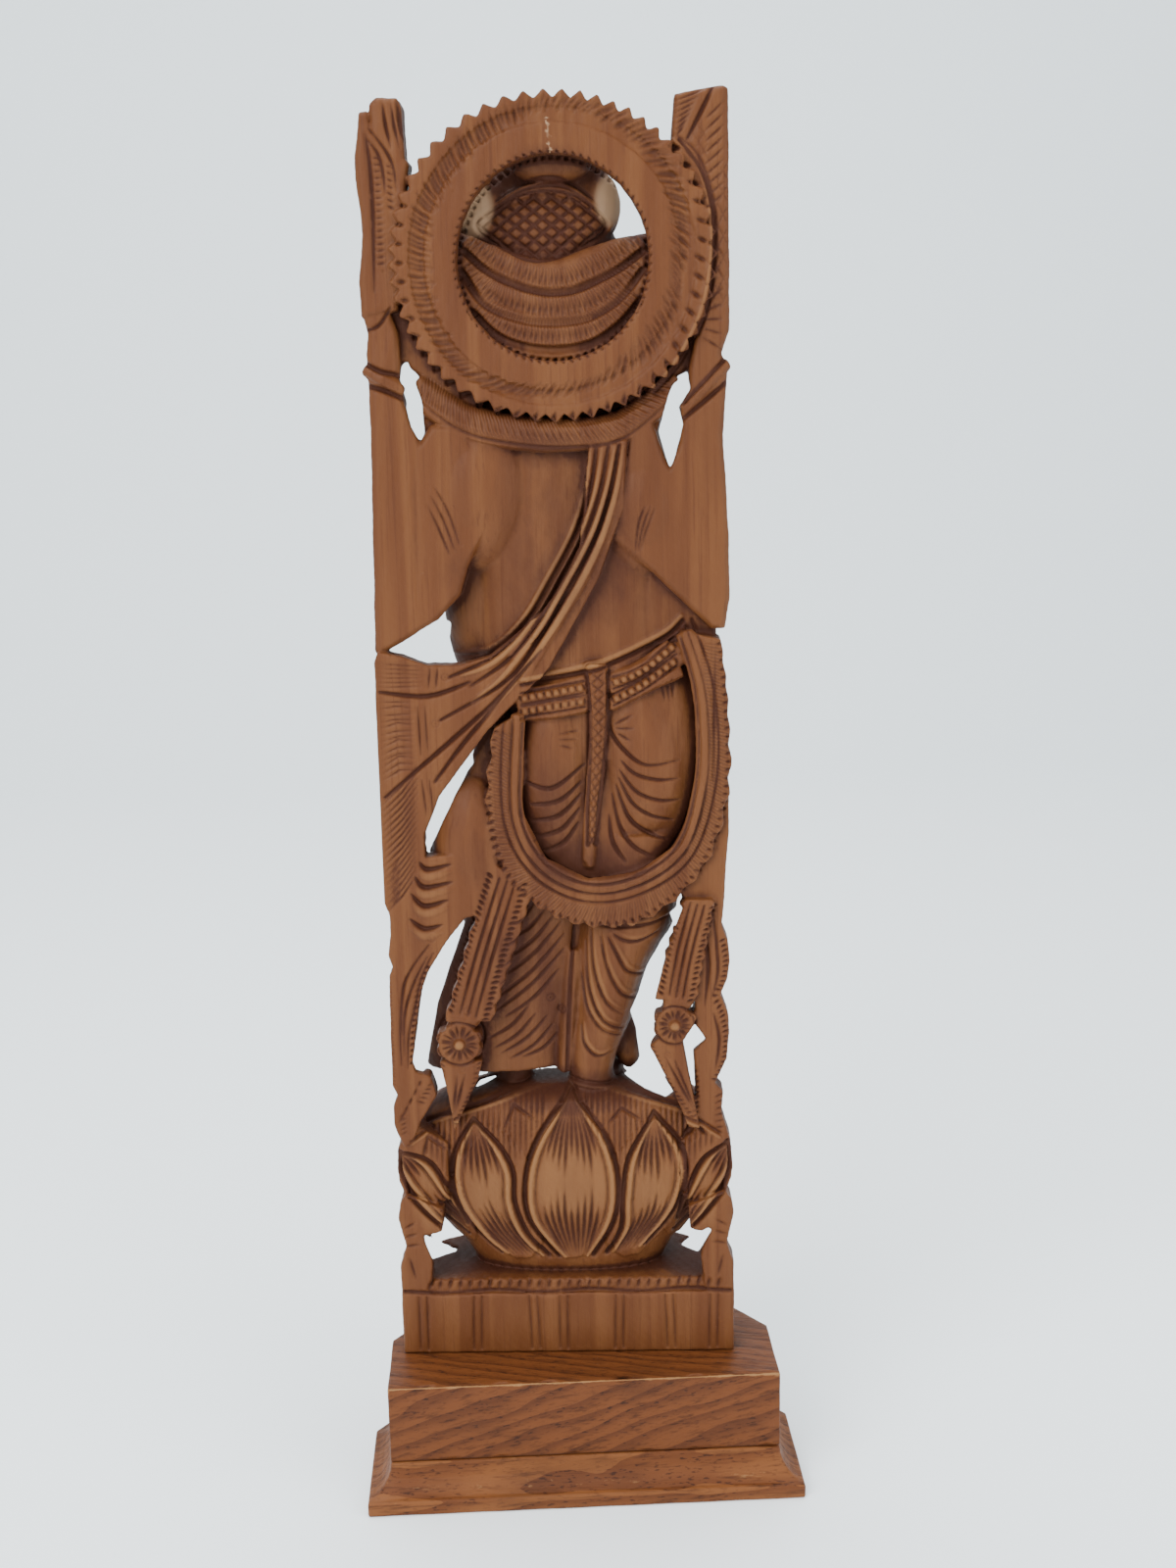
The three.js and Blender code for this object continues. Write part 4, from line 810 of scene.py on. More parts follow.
@dataclass
class Hips:
    """The hips under tight cloth, the belt over them and the braided strap between."""

    levels: tuple[Sequence[float], ...] = (
        (140, 9, 19, 22, 11), (155, 11, 19, 28, 13.5), (180, 12.5, 20, 32, 15), (205, 12, 20, 31, 15.5),
        (225, 9, 20, 30, 15),
    )  # fmt: skip
    belt_rows: tuple[Path, ...] = (
        ((-9.5, 207.4), (-0.2, 209.0), (9.0, 210.6)),
        ((-9.5, 203.4), (-0.3, 205.0), (9.2, 206.4)),
        ((17.4, 211.6), (25.5, 214.8), (35.6, 222.4)),
        ((17.4, 206.6), (25.5, 210.8), (36.0, 218.0)),
    )
    waist: Path = ((-9.2, 211.6), (-0.2, 213.0), (9.5, 214.8), (17.6, 217.2), (32.1, 223.7), (38.1, 229.0))
    waist_roll: Path = (
        (-9.2, 213.4), (-0.2, 214.6), (9.5, 216.6), (17.6, 219.0), (32.1, 225.5), (37.6, 230.4),
    )  # fmt: skip
    strap: Path = ((13.0, 215.0), (13.2, 202.4), (12.4, 188.0), (11.2, 176.0), (10.4, 163.0))
    folds: tuple[Path, ...] = (
        ((19.5, 188.6), (23.5, 184.6), (30.1, 182.6), (36.2, 182.6)),
        ((18.9, 185.9), (23.5, 179.3), (30.0, 176.3), (36.4, 175.9)),
        ((18.6, 183.4), (22.6, 175.4), (28.0, 171.4), (34.4, 169.6)),
        ((17.8, 181.2), (21.2, 171.2), (25.8, 166.6), (32.6, 163.6)),
        ((16.6, 178.2), (18.8, 168.2), (22.8, 162.2), (28.4, 158.8)),
        ((15.6, 172.0), (16.6, 163.4), (20.4, 157.4)),
        ((-7.4, 175.4), (1.0, 176.6), (7.6, 182.0)),
        ((-7.2, 170.2), (1.0, 172.0), (7.6, 178.4)),
        ((-6.6, 165.0), (1.4, 167.6), (7.0, 174.0)),
        ((-4.4, 160.4), (2.0, 163.4), (6.6, 169.6)),
        ((-9.4, 182.6), (-1.0, 180.6), (8.8, 187.4)),
        ((17.0, 203.8), (16.4, 197.6), (20.4, 191.7), (27.0, 187.2), (36.6, 188.2)),
    )
    dimples: tuple[Path, ...] = (
        ((18.0, 199.4), (22.8, 202.0)), ((18.3, 198.0), (23.2, 198.2)), ((18.6, 196.6), (22.2, 194.6)),
    )  # fmt: skip

    def model(self, forms: Forms) -> None:
        """Adds the rounded mass of the hips, the ground of the belt, and the strap."""
        forms.stack(self.levels, 2.0, 0.1)
        forms.eggs(
            ((-0.5, 11, 186), (11.7, 8.7, 24.2), 4), ((26, 11, 189), (14.7, 9.5, 25.2), -5),
            ((30, 13.5, 192), (15.2, 9.8, 33)), ((1, 13.5, 178), (14.5, 9.6, 31)),
            ((-25, 10, 162), (12.5, 9.3, 22)),
        )  # fmt: skip
        forms.roll(((-10.5, 4.9, 205.4, 4.4, 2.2), (-0.2, 4.3, 207, 4.4, 2.2), (9.4, 4.3, 208.6, 4.4, 2.2)))
        forms.roll(((17, 4.3, 209.2, 4.6, 2.2), (26, 4.4, 213, 4.6, 2.2), (36, 5, 220.2, 4.4, 2.2)))
        strap = ((13, 3.4, 217, 3.1), (13.1, 2.8, 196, 2.4), (11.6, 3.2, 176, 1.8), (9.6, 5, 156, 1.2))
        forms.roll([(*station, 2) for station in strap])

    def carve(self, relief: Relief) -> None:
        """Cuts the belt's squares and beads, the braid, and the folds in the cloth."""
        for index, line in enumerate(self.belt_rows):
            row = curve(line, 30)
            for offset in (1.7, -1.7):
                relief.gouge(row + (0, offset), 1.1, 1.2, 0.1)
            relief.hatch(row, 2.5, (-1.4, 1.5), 0.12 if index % 2 else -0.12, 1, 1)
            beads, _ = along(row, 2.5)
            relief.beads((beads[1:] + beads[:-1]) / 2, 1.15, 0.55)
        relief.gouge(curve(self.waist), 1.8, 1.4, 0.1)
        relief.ridge(curve(self.waist_roll), 2.2, 0.7, 0.2)
        strap = curve(self.strap)
        narrowing = np.linspace(1.0, 0.4, len(strap))[:, None]
        centre, direction = along(strap, 3.2)
        for side in (-1, 1):
            relief.gouge(strap + narrowing * (side * 3.2, 0), 1.7, 1.6, 0.1)
            for k, (p, t) in enumerate(zip(centre[:-1], direction[:-1])):
                n = np.array([-t[1], t[0]]) * side * 2.1 * (1 - 0.6 * k / len(centre))
                relief.gouge([p - n, p + t * 3.4 + n], 1, 0.96, 0.2)
        # Painted shade, with some gathered stain, inside the loop and in the hollows of the hips.
        relief.blots(
            (-1.0, 172.0, 11.0, 26.0, 0.6), (10.0, 157.0, 20.0, 9.0, 0.5), (24.0, 160.0, 16.0, 12.0, 0.3),
            (20.0, 190.0, 5.0, 20.0, 0.25),
        )  # fmt: skip
        relief.strokes(self.folds, 1.7, 1.4, 0.6)
        for ends in self.dimples:
            relief.gouge(ends, 1, 0.84, 0.4)
        relief.rank(3, ((1.6, 196.6), (7.0, 197.4)), ((0, -1.6), (-0.7, -2.6)), 1, 0.72, 0.4)
        relief.rank(3, ((31.6, 210.8), (32.6, 205.6)), ((1.5, 1), (1.2, 0.5)), 1, 0.84, 0.4)


@dataclass
class Loop:
    """The fringed loop of cloth that hangs round the hips."""

    outer: Path = (
        (48.9, 223.0), (50.6, 205.0), (50.8, 181.0), (43.4, 157.0), (27.0, 141.6), (11.5, 138.6),
        (-3.0, 143.2), (-15.6, 155.5), (-20.0, 176.0), (-17.6, 198.0),
    )  # fmt: skip
    inner: Path = (
        (38.2, 226.0), (43.0, 208.0), (43.4, 184.0), (37.4, 162.6), (23.7, 152.2), (8.6, 150.2),
        (-4.8, 157.6),
        (-11.8, 173.0), (-10.6, 201.0),
    )  # fmt: skip
    middle: tuple[float, float] = (14.0, 190.0)

    def model(self, forms: Forms) -> None:
        """Adds the two smooth cords along the inner edge."""
        forms.roll([(u, 2.9, h, 2.3, 2.3) for u, h in curve(self.inner, 18)], 16)
        shifted = [(u + (u - self.middle[0]) * 0.1, h - 3.2 * (h < 210)) for u, h in self.inner]
        forms.roll([(u, 2.8, h, 1.25, 1.5) for u, h in curve(shifted, 18)], 16)

    def carve(self, relief: Relief) -> None:
        """Cuts the fringe and the line between the cords."""
        outer = curve(self.outer, 80)
        relief.strands(outer, (-6.4, 0.6), -0.3)
        relief.hatch(outer, 1.9, (-5.4, -0.6), 0.15, 0.9, 0.5)
        relief.hatch(outer, 2.5, (-1.6, 0.9), -0.25, 1.5, 1.1)
        inner = curve(self.inner, 80)
        outward = (inner - self.middle) * (1.0, 0.9)
        outward /= np.linalg.norm(outward, axis=1, keepdims=True)
        for offset, depth in ((1.5, 1.0), (4.2, 1.1), (-1.6, 1.2)):
            relief.gouge(inner + outward * offset, 1.3, depth, 0.05)


@dataclass
class Legs:
    """The straight leg, the bent leg under its pleats, and the cloth drawn between."""

    straight: tuple[Sequence[float], ...] = (
        (80, 8.8, 19, 8, 9), (87, 8.6, 18, 6.6, 8), (95, 9.6, 17.5, 7.4, 8.5), (106, 12.8, 17, 8.8, 10),
        (120, 15.4, 16.6, 10.2, 11), (129, 17.8, 16.7, 12.6, 11.8), (138, 20.4, 16.8, 14.6, 12.5),
        (165, 22, 18, 17, 14),
    )  # fmt: skip
    pleated: tuple[Sequence[float], ...] = (
        (89.5, -21.4, 18, 21, 8), (100, -20.5, 18, 21.5, 8.5), (118, -16.4, 18, 21.2, 9),
        (138, -10.6, 18, 18.6, 10),
        (165, -4, 18, 16, 12),
    )  # fmt: skip
    pleats: tuple[Path, ...] = (
        ((-15.0, 139.4), (-7.6, 144.2)), ((-15.6, 133.0), (-4.2, 142.2)), ((-16.6, 126.6), (-1.4, 140.2)),
        ((-18.2, 120.6), (0.6, 137.6)), ((-20.6, 113.4), (1.4, 133.4)), ((-20.8, 109.4), (1.2, 128.6)),
        ((-17.4, 107.6), (-0.6, 122.0)), ((-19.0, 95.6), (-4.5, 107.1)), ((-16.4, 93.6), (-2.9, 104.0)),
        ((-12.6, 94.0), (-1.3, 100.9)), ((-21.0, 97.4), (-8.0, 108.2)), ((-22.6, 100.6), (-9.6, 111.6)),
    )  # fmt: skip
    seam: Path = ((4.6, 136.0), (3.0, 120.2), (2.0, 102.6), (1.2, 88.0))
    folds: tuple[Path, ...] = (
        ((9.6, 135.4), (10.2, 123.6), (13.4, 113.1), (18.5, 108.2)),
        ((8.0, 131.7), (8.5, 117.7), (12.2, 107.2), (18.4, 103.0)),
        ((6.4, 121.2), (7.9, 110.6), (12.0, 103.7), (17.6, 100.6)),
        ((6.0, 104.3), (6.9, 98.2), (10.5, 94.3), (14.9, 95.2)),
        ((14.5, 134.0), (17.0, 128.8), (20.2, 122.7), (25.0, 120.4)),
        ((12.4, 134.0), (14.2, 124.0), (18.0, 115.8), (22.6, 112.4)),
        ((16.2, 135.0), (19.5, 132.8), (23.7, 132.4), (29.4, 134.6)),
        ((11.6, 137.2), (19.6, 137.2), (27.1, 137.6), (32.6, 138.9)),
    )

    def model(self, forms: Forms) -> None:
        """Adds both rounded legs, the ankle and cloth between them, and the feet."""
        forms.stack(self.straight, 2.0, 0.1)
        forms.stack(self.pleated, 2.0, 0.1)
        forms.roll(((-14, 22, 96, 6, 6), (-15, 22, 86, 5, 5.5), (-16, 24, 80, 6, 7)))
        forms.roll(((0.6, 18, 88.6, 2.6, 6.4), (1.4, 17, 100, 3, 6.4), (4.6, 17, 128, 4.4, 7)))
        forms.eggs(
            ((12, 29, 84), (6.6, 10.6, 4.6)), ((-18, 29, 84), (6.6, 10.6, 4.6)),
            ((19.4, 24, 96), (4.7, 6.1, 10.6), -8),
        )  # fmt: skip

    def carve(self, relief: Relief) -> None:
        """Cuts the slanting pleats on one leg and the hanging folds on the other."""
        for low, high in np.array(self.pleats):
            relief.gouge(curve((low, (low + high) / 2 + (0.8, -1.2), high)), 1.5, 1.1, 0.6)
        relief.gouge(curve(self.seam), 1.7, 1.3, 0.2)
        for u, h in ((-3.2, 113.0), (0.1, 109.1)):
            relief.punch(u, h, 1.2)
        # Painted shade, with some gathered stain, between and beside the legs and in a band where the feet
        # meet the lotus.
        relief.blots(
            (0.0, 112.0, 9.0, 32.0, 0.5), (-14.0, 132.0, 12.0, 14.0, 0.35), (19.0, 134.0, 14.0, 9.0, 0.3),
            (20.0, 104.0, 6.0, 14.0, 0.4), (2.0, 84.0, 38.0, 7.0, 0.9), (-13.0, 112.0, 17.0, 32.0, 0.3),
        )  # fmt: skip
        relief.strokes(self.folds, 1.5, 1.15, 0.55)
        for fold in self.folds:
            relief.ridge(curve(fold) + (0.9, 1.5), 1.8, 0.45, 0.6)


@dataclass
class Ribbons:
    """The two hanging ribbons with their flowers, and the lobed border at the right edge.

    A ribbon is its spine and half width, a flower its u, h and radius, and a tail the two ends
    of its top and then its tip.
    """

    ribbons: tuple[tuple[Path, float], ...] = (
        (((-14.9, 153.0), (-22.4, 130.0), (-28.0, 111.0)), 5.4),
        (((41.6, 145.0), (37.9, 131.0), (34.9, 116.0)), 4.7),
    )
    across: tuple[float, float] = (0.96, -0.28)
    flowers: tuple[Sequence[float], ...] = ((-30.9, 101.8, 6.9), (34.4, 106.8, 6.1))
    petals: int = 22
    rings: Path = ((-30.4, 94.0), (35.6, 118.2), (33.9, 106.8), (32.2, 97.2), (-28.2, 112.4))
    tails: tuple[Path, ...] = (
        ((-36.4, 95.0), (-25.0, 95.4), (-33.4, 76.0)),
        ((27.4, 100.0), (38.4, 98.4), (40.4, 76.0)),
    )
    border: Path = (
        (49.8, 133.0), (50.9, 126.0), (49.8, 119.0), (47.6, 115.0), (49.6, 110.0), (50.8, 102.0),
        (50.0, 93.0), (47.4, 88.0),
    )  # fmt: skip
    creases: tuple[Path, ...] = (
        ((46.4, 140.0), (47.4, 130.0), (47.6, 122.0), (46.0, 115.0)),
        ((44.0, 134.0), (44.8, 124.0), (43.6, 112.0)),
        ((46.2, 110.0), (48.0, 101.0), (46.6, 91.0)),
        ((47.2, 222.0), (46.8, 200.0), (46.4, 180.0)),
    )

    def model(self, forms: Forms) -> None:
        """Adds the joints between the ribbons and their flowers."""
        forms.eggs(((-29.2, 3.4, 109.6), (5.0, 3.0, 4.0)), ((35.6, 3.4, 114.4), (4.6, 3.0, 4.0)))

    def carve(self, relief: Relief) -> None:
        """Cuts the flutes, saw-toothed edges, petals and lobes."""
        for spine, half in self.ribbons:
            line, side = curve(spine), half * np.array(self.across)
            for offset in (-0.45, 0.0, 0.45):
                relief.gouge(line + side * offset, 1.3, 1.2, 0.25)
            for edge in (-1, 1):
                relief.hatch(line + side * edge, 1.75, (-1.3, 1.3), -0.5 * edge, 1.4, 1.4)
        for flower in self.flowers:
            self._flower(relief, *flower)
        for u, h in self.rings:
            relief.punch(u, h, 1.1)
        for left, right, tip in np.array(self.tails):
            middle = (left + right) / 2
            for corner, lean in ((left, 0.6), (right, -0.6)):
                bulge = (corner + tip) / 2 + (corner - middle) * (0.25, 0)
                relief.hatch(curve((corner, bulge, tip)), 1.6, (-1.2, 1.2), lean, 1.2, 1.1)
            for shift in (-1.2, 1.2):
                relief.gouge([middle + (shift, -3), tip + (shift * 0.2, 3)], 1.3, 1.1, 0.5)
        relief.hatch(curve(self.border), 1.7, (-2.2, 0.5), -0.3, 1.3, 1.1)
        relief.strokes(self.creases, 1.6, 1.1, 0.6)
        relief.rank(6, ((49.6, 84.0), (46.4, 82.4)), ((0, -2.2), (0, -2.0)), 1.1, 0.88, 0.5)

    def _flower(self, relief: Relief, u: float, h: float, radius: float) -> None:
        """Cuts the petals round a flower's bead, and its rim."""
        centre = np.array([u, h])
        for k in range(self.petals):
            angle = k * 360 / self.petals
            twisted = unit(angle + math.degrees(0.1 * math.sin(k * 2.1)))
            relief.gouge((centre + 1.7 * unit(angle), centre + 0.86 * radius * twisted), 1.3, 1.1, 0.6)
        relief.blob(u, h, 1.6, 0.7)
        relief.gouge(circle(u, h, radius, 40), 1.3, 1.1, 0)


@dataclass
class Lotus:
    """The lotus that the figure stands on.

    A level is h and the half sizes along u and d, a petal its left and right edges from the tip
    down, a gap its left and right ends and the u and h of its lowest place, and a leaf its root
    and the tips of its two strokes.
    """

    levels: tuple[Sequence[float], ...] = (
        (22, 28, 12), (34, 35, 15.5), (47, 45.5, 18), (58, 49, 18.6), (68, 48.6, 18), (76, 44, 16.2),
        (81, 33, 13),
        (84, 12, 6),
    )  # fmt: skip
    petals: tuple[tuple[Path, Path], ...] = (
        (((2.4, 84.2), (-7.5, 71.6), (-12.0, 58.3), (-11.2, 43.7), (-2.2, 30.0)),
         ((2.4, 84.2), (12.5, 71.8), (16.5, 58.0), (15.2, 43.4), (8.4, 30.0))),
        (((-28.0, 75.6), (-34.1, 64.9), (-34.5, 51.3), (-27.9, 38.3), (-20.3, 30.6)),
         ((-28.0, 75.6), (-20.0, 68.5), (-15.8, 60.0), (-15.6, 50.0), (-12.0, 38.6), (-5.4, 30.0))),
        (((27.9, 77.0), (20.0, 64.2), (17.9, 50.6), (17.2, 39.7), (12.6, 30.6)),
         ((27.9, 77.0), (35.6, 67.7), (37.6, 57.7), (33.7, 45.0), (24.6, 33.0))),
        (((-51.0, 66.0), (-50.0, 57.0), (-43.0, 47.0), (-31.0, 36.4)),
         ((-51.0, 66.0), (-42.0, 63.0), (-36.4, 54.0), (-31.0, 40.6))),
        (((50.9, 68.4), (43.0, 62.7), (38.6, 53.8), (35.0, 41.0)),
         ((50.9, 68.4), (50.5, 57.5), (44.0, 47.0), (34.0, 36.6))),
    )  # fmt: skip
    rim: Path = (
        (-47.0, 70.0), (-38.0, 75.6), (-24.0, 80.4), (-10.0, 84.6), (2.4, 86.0), (14.0, 84.4), (28.0, 80.6),
        (40.0, 76.0), (48.0, 71.0),
    )  # fmt: skip
    gaps: tuple[Sequence[float], ...] = (
        (-27.0, -5.0, -16.2, 60.0), (7.0, 27.0, 17.2, 61.0), (-46.0, -30.0, -35.4, 57.0),
        (30.0, 46.0, 38.0, 59.0),
    )  # fmt: skip
    leaves: tuple[Path, ...] = (
        ((-15.4, 80.0), (-18.5, 72.8), (-9.4, 76.4)), ((17.9, 78.7), (13.8, 74.6), (23.4, 75.4)),
        ((-41.9, 71.0), (-43.6, 64.4), (-36.5, 66.8)), ((40.6, 73.6), (36.6, 68.8), (44.0, 70.4)),
    )  # fmt: skip

    def model(self, forms: Forms) -> None:
        """Adds the rounded bowl."""
        forms.stack([(h, 0.6, 20, ru, rd) for h, ru, rd in self.levels], 2.4, 0.25)

    def carve(self, relief: Relief) -> None:
        """Cuts the petals and the filling between them, mirrored on the front."""
        flip = np.array([-1.0 if relief.side is Side.FRONT else 1.0, 1.0])
        for left, right in self.petals:
            self._petal(relief, curve(left, 26) * flip, curve(right, 26) * flip)
        self._filling(relief, flip)
        # Painted light over the whole lotus.
        relief.blots((0.6, 56.0, 60.0, 34.0, -0.5))

    @staticmethod
    def _petal(relief: Relief, left: np.ndarray, right: np.ndarray) -> None:
        """Cuts a double line round one petal, and ribs from its tip and its foot.

        Args:
            relief: The face to cut.
            left: One edge of the petal from tip to foot.
            right: Its other edge, with as many points.
        """
        middle = (left + right) / 2
        for edge in (left, right):
            relief.gouge(edge, 2.0, 1.9, 0.1, Cut.ROUND)
            inward = middle - edge
            room = np.linalg.norm(inward, axis=1, keepdims=True)
            inward /= np.maximum(room, 1e-6)
            relief.ridge(edge + inward * np.minimum(1.9, 0.4 * room), 1.5, 0.7, 0.3)
            relief.gouge(edge + inward * np.minimum(3.4, 0.6 * room), 1.2, 0.9, 0.3)
        half = len(left) // 2
        breadth = abs(right[half - 1, 0] - left[half - 1, 0])
        ribs = int(1 + breadth / 3.4)
        for k in range(ribs):
            share = 0.17 + 0.66 * (k + 0.5) / ribs
            spine = left * (1 - share) + right * share
            reach = 11 + (k * 5) % 4
            for rib in (spine[2:reach], spine[1 - reach :]):
                relief.gouge(rib, 1.9, 1.4, 0.8)
        # Painted highlight on the petal's swelling middle.
        relief.blots((*middle[half], breadth * 0.5, 14.0, -0.3))

    def _filling(self, relief: Relief, flip: np.ndarray) -> None:
        """Cuts the rim's line, and upright strokes and small crossed leaves in the gaps below it."""
        rim = curve(self.rim) * flip
        relief.gouge(rim, 1.7, 1.2, 0.2)
        relief.ridge(rim - (0, 1.3), 1.3, 0.4, 0.2)
        edge = np.array(self.rim).T
        for start, end, valley, low in self.gaps:
            for k, u in enumerate(np.arange(start, end, 1.7)):
                foot = low + 1.25 * abs(u - valley) + 1.2 * math.sin(k * 1.9)
                top = float(np.interp(u, *edge)) - 1.6
                if top - foot > 2.5:
                    relief.gouge(np.array([(u, foot), (u + 0.3, top)]) * flip, 1.25, 1.0, 0.5)
        for root, *tips in np.array(self.leaves) * flip:
            for tip in tips:
                relief.gouge([root, tip], 1.7, 1.3, 0.3)


@dataclass
class BaseBlock:
    """The foot of the carving, with pairs of upright lines and a notched rim."""

    pairs: tuple[float, ...] = (-45.1, -28.2, -10.2, -1.2, 16.2, 32.2, 45.6)
    groove_height: float = 20.4

    def carve(self, relief: Relief) -> None:
        """Cuts the groove, the lines and the notches, and a few strokes in the posts above them."""
        groove = [(u, self.groove_height + 0.35 * math.sin(u * 0.21)) for u in np.arange(-51, 52, 3.0)]
        relief.gouge(groove, 2, 1.4, 0)
        for k, middle in enumerate(self.pairs):
            lean = 0.5 * math.sin(k * 2.2)
            for u in (middle - 1.25, middle + 1.25):
                relief.gouge([(u + lean, 19.0), (u, 10.0), (u - lean * 0.4, 1.0)], 1.4, 0.95, 0.2)
        relief.rank(30, ((-43.0, 21.2), (-42.3, 24.2)), (3.1, 0), 1.9, 1.1, 0.3)
        # Painted light over the block's face.
        relief.blots((0.0, 10.0, 80.0, 15.0, -0.4))
        for side in (-1, 1):
            stroke, step = ((side * 50.0, 42), (side * 46.4, 44)), ((0, -3), (side * -0.6, -3.6))
            relief.rank(3, stroke, step, 1.4, 0.88, 0.5)
            relief.gouge([(side * 48.6, 32.0), (side * 47.0, 25.0)], 1.6, 0.88, 0.4)


@dataclass
class FrontFigure:
    """The front of the deity, which is plainer than the back.

    A border is how many strokes it has, its first stroke and the step up to the next.
    """

    middle: float = 0.8
    trunk: tuple[Sequence[float], ...] = (
        (0.8, 32, 334, 8.1, 6.1), (1, 35.4, 322, 6.9, 5.1), (1.8, 36.4, 308, 5.9, 4.5),
        (2.2, 36, 294, 5.1, 4.1),
        (0, 36, 281, 4.5, 3.9), (-6, 36.4, 271, 3.9, 3.5), (-14, 36.6, 267, 3.3, 3.1),
        (-19.4, 36.4, 271, 2.7, 2.7),
        (-18.6, 36, 276.4, 2.1, 2.1),
    )  # fmt: skip
    crown: tuple[Sequence[float], ...] = (
        (344, 1, 24, 19, 10), (352, 1.6, 24, 18, 9.6), (358, 2.2, 23, 14, 9), (364, 2.6, 22.5, 9, 7),
        (370, 2.8, 22, 4, 4), (373, 2.8, 22, 1.4, 1.4),
    )  # fmt: skip
    arms: tuple[Sequence[Sequence[float]], ...] = (
        ((27, 21, 270, 8.5, 8.1), (34, 22, 254, 7.5, 7.5), (38.6, 25, 238, 6.7, 6.7), (38, 31, 236, 5.5, 5.5),
         (35.4, 34.6, 245, 4.7, 4.5), (33.6, 36, 251, 4.1, 3.5)),
        ((-28, 20, 276, 8.5, 8.1), (-32, 22, 262, 7.1, 7.1), (-33, 25, 248, 6.3, 6.3),
         (-28, 31, 243, 5.3, 5.3),
         (-20, 35, 246, 4.5, 4.1)),
    )  # fmt: skip
    cuffs: tuple[Path, ...] = (
        ((-38, 256), (-26, 252)), ((34, 249), (46, 252)), ((-36.6, 268), (-24, 266)), ((28, 268), (42, 266)),
    )  # fmt: skip
    belt: Path = ((-24, 219), (-8, 209), (12, 208), (32, 218))
    borders: tuple[tuple[int, Path, float], ...] = (
        (20, ((49.8, 142.4), (39.8, 146.0)), 3.3), (20, ((-49.8, 142.4), (-39.0, 146.0)), 3.3),
        (17, ((50.4, 77.6), (45.0, 80.0)), 3.6), (17, ((-50.4, 77.6), (-46.0, 80.0)), 3.6),
    )  # fmt: skip

    def model(self, forms: Forms) -> None:
        """Adds the face, tusks, trunk, crown, belly, arms and the bowl of sweets."""
        for side, tusk_end in ((-1, 305), (1, 308)):
            forms.egg((0.6 + side * 6.5, 31, 341), (8.1, 6.6, 8.1))
            forms.egg((0.6 + side * 8.5, 31, 326), (7.6, 6.6, 8.6))
            forms.egg((self.middle + side * 9, 36, 333.4), (2.1, 1.9, 1.5))
            tusk = ((7, 30, 322, 2.3), (9.6, 37, 311, 1.8), (11, 38.6, tusk_end, 1.0))
            forms.roll([(self.middle + side * u, d, h, r, r) for u, d, h, r in tusk])
        forms.roll(self.trunk, 28)
        forms.stack(self.crown, 2.0, 0.1)
        forms.egg((5, 24, 232), (27.2, 16.1, 25.2))
        for arm in self.arms:
            forms.roll(arm, 24)
        forms.egg((-17, 36, 249), (7.1, 4.7, 4.7))

    def carve(self, relief: Relief) -> None:
        """Cuts the ornaments, creases and folds of the front."""
        relief.rank(9, ((-4.6, 318.8), (1.6, 317.4), (7.2, 318.8)), (0, -4.6), 0.9, 0.5, 0.5)
        for h, half in ((348, 17.0), (353.6, 15.4), (360, 10.4)):
            line = curve([(2 - half, h + 1.5), (2, h - 1.2), (2 + half, h + 1.5)])
            relief.gouge(line, 1.3, 0.9, 0.1)
            relief.beads(along(line + (0, 2.6), 2.6)[0], 1.15, 0.6)
        for side in (-1, 1):
            self._side(relief, side)
        for half, h in ((15, 262), (20, 255)):
            chain = ((-half, h + 12), (-half * 0.5, h + 2), (3, h), (half * 0.6, h + 2), (half + 5, h + 12))
            relief.beads(along(curve(chain), 2.7)[0], 1.25, 0.8)
            relief.gouge(curve(chain) - (0, 1.9), 0.8, 0.5, 0.3)
        relief.blob(4.5, 226, 1.6, -1.2)
        relief.strokes([np.array(self.belt) - (0, drop) for drop in (0, 4.2, 8.0)], 1.3, 0.9, 0.2)
        for k in range(11):
            u = -20 + k * 4.9
            relief.gouge([(u, 209.6 - 0.2 * abs(k - 5)), (u + 1.2, 205.8)], 1.1, 0.7, 0.4)
        relief.rank(4, ((30.2, 268.6), (30.3, 260.6)), (2.2, 0), 0.7, 0.6, 0.2)
        for cuff in self.cuffs:
            relief.gouge(cuff, 1.2, 0.7, 0.1)
        relief.rank(15, ((-40.9, 318), (-48.9, 322)), (0, 3.4), 1.0, 0.6, 0.5)
        relief.rank(15, ((41.4, 318), (49.4, 322)), (0, 3.4), 1.0, 0.6, 0.5)
        for count, stroke, step in self.borders:
            relief.rank(count, stroke, (0, step), 1.0, 0.6, 0.6)
        relief.rank(11, ((-44, 18.6), (-44, 4)), (8.8, 0), 1.2, 0.7, 0.4)

    def _side(self, relief: Relief, side: int) -> None:
        """Cuts what is alike on both sides: the ear's creases, the eye, and the folds of the cloth."""
        for k in range(4):
            inner, outer = self.middle + side * (14 + 1.5 * k), self.middle + side * (24.5 + k * 0.8)
            bend = ((inner + outer) / 2, 330.4 - k * 5.0)
            relief.gouge(curve(((inner, 331 - k * 5.4), bend, (outer, 326.4 - k * 3.8))), 1.1, 0.6, 0.6)
        eye = [(self.middle + side * u, h) for u, h in ((6.6, 333.2), (9, 335.2), (11.6, 333.0))]
        relief.gouge(curve(eye), 0.8, 0.6, 0.2)
        swag = curve([(2 + side * u, h) for u, h in ((4, 196), (14, 188), (27, 190))])
        relief.rank(6, swag, (0, -15), 1.5, 0.9, 0.7)
        fold = curve([(2 + side * u, h) for u, h in ((2.2, 174), (4.2, 146), (7.2, 106))])
        relief.rank(4, fold, (side * 2.4, 0), 1.1, 0.8, 0.3)


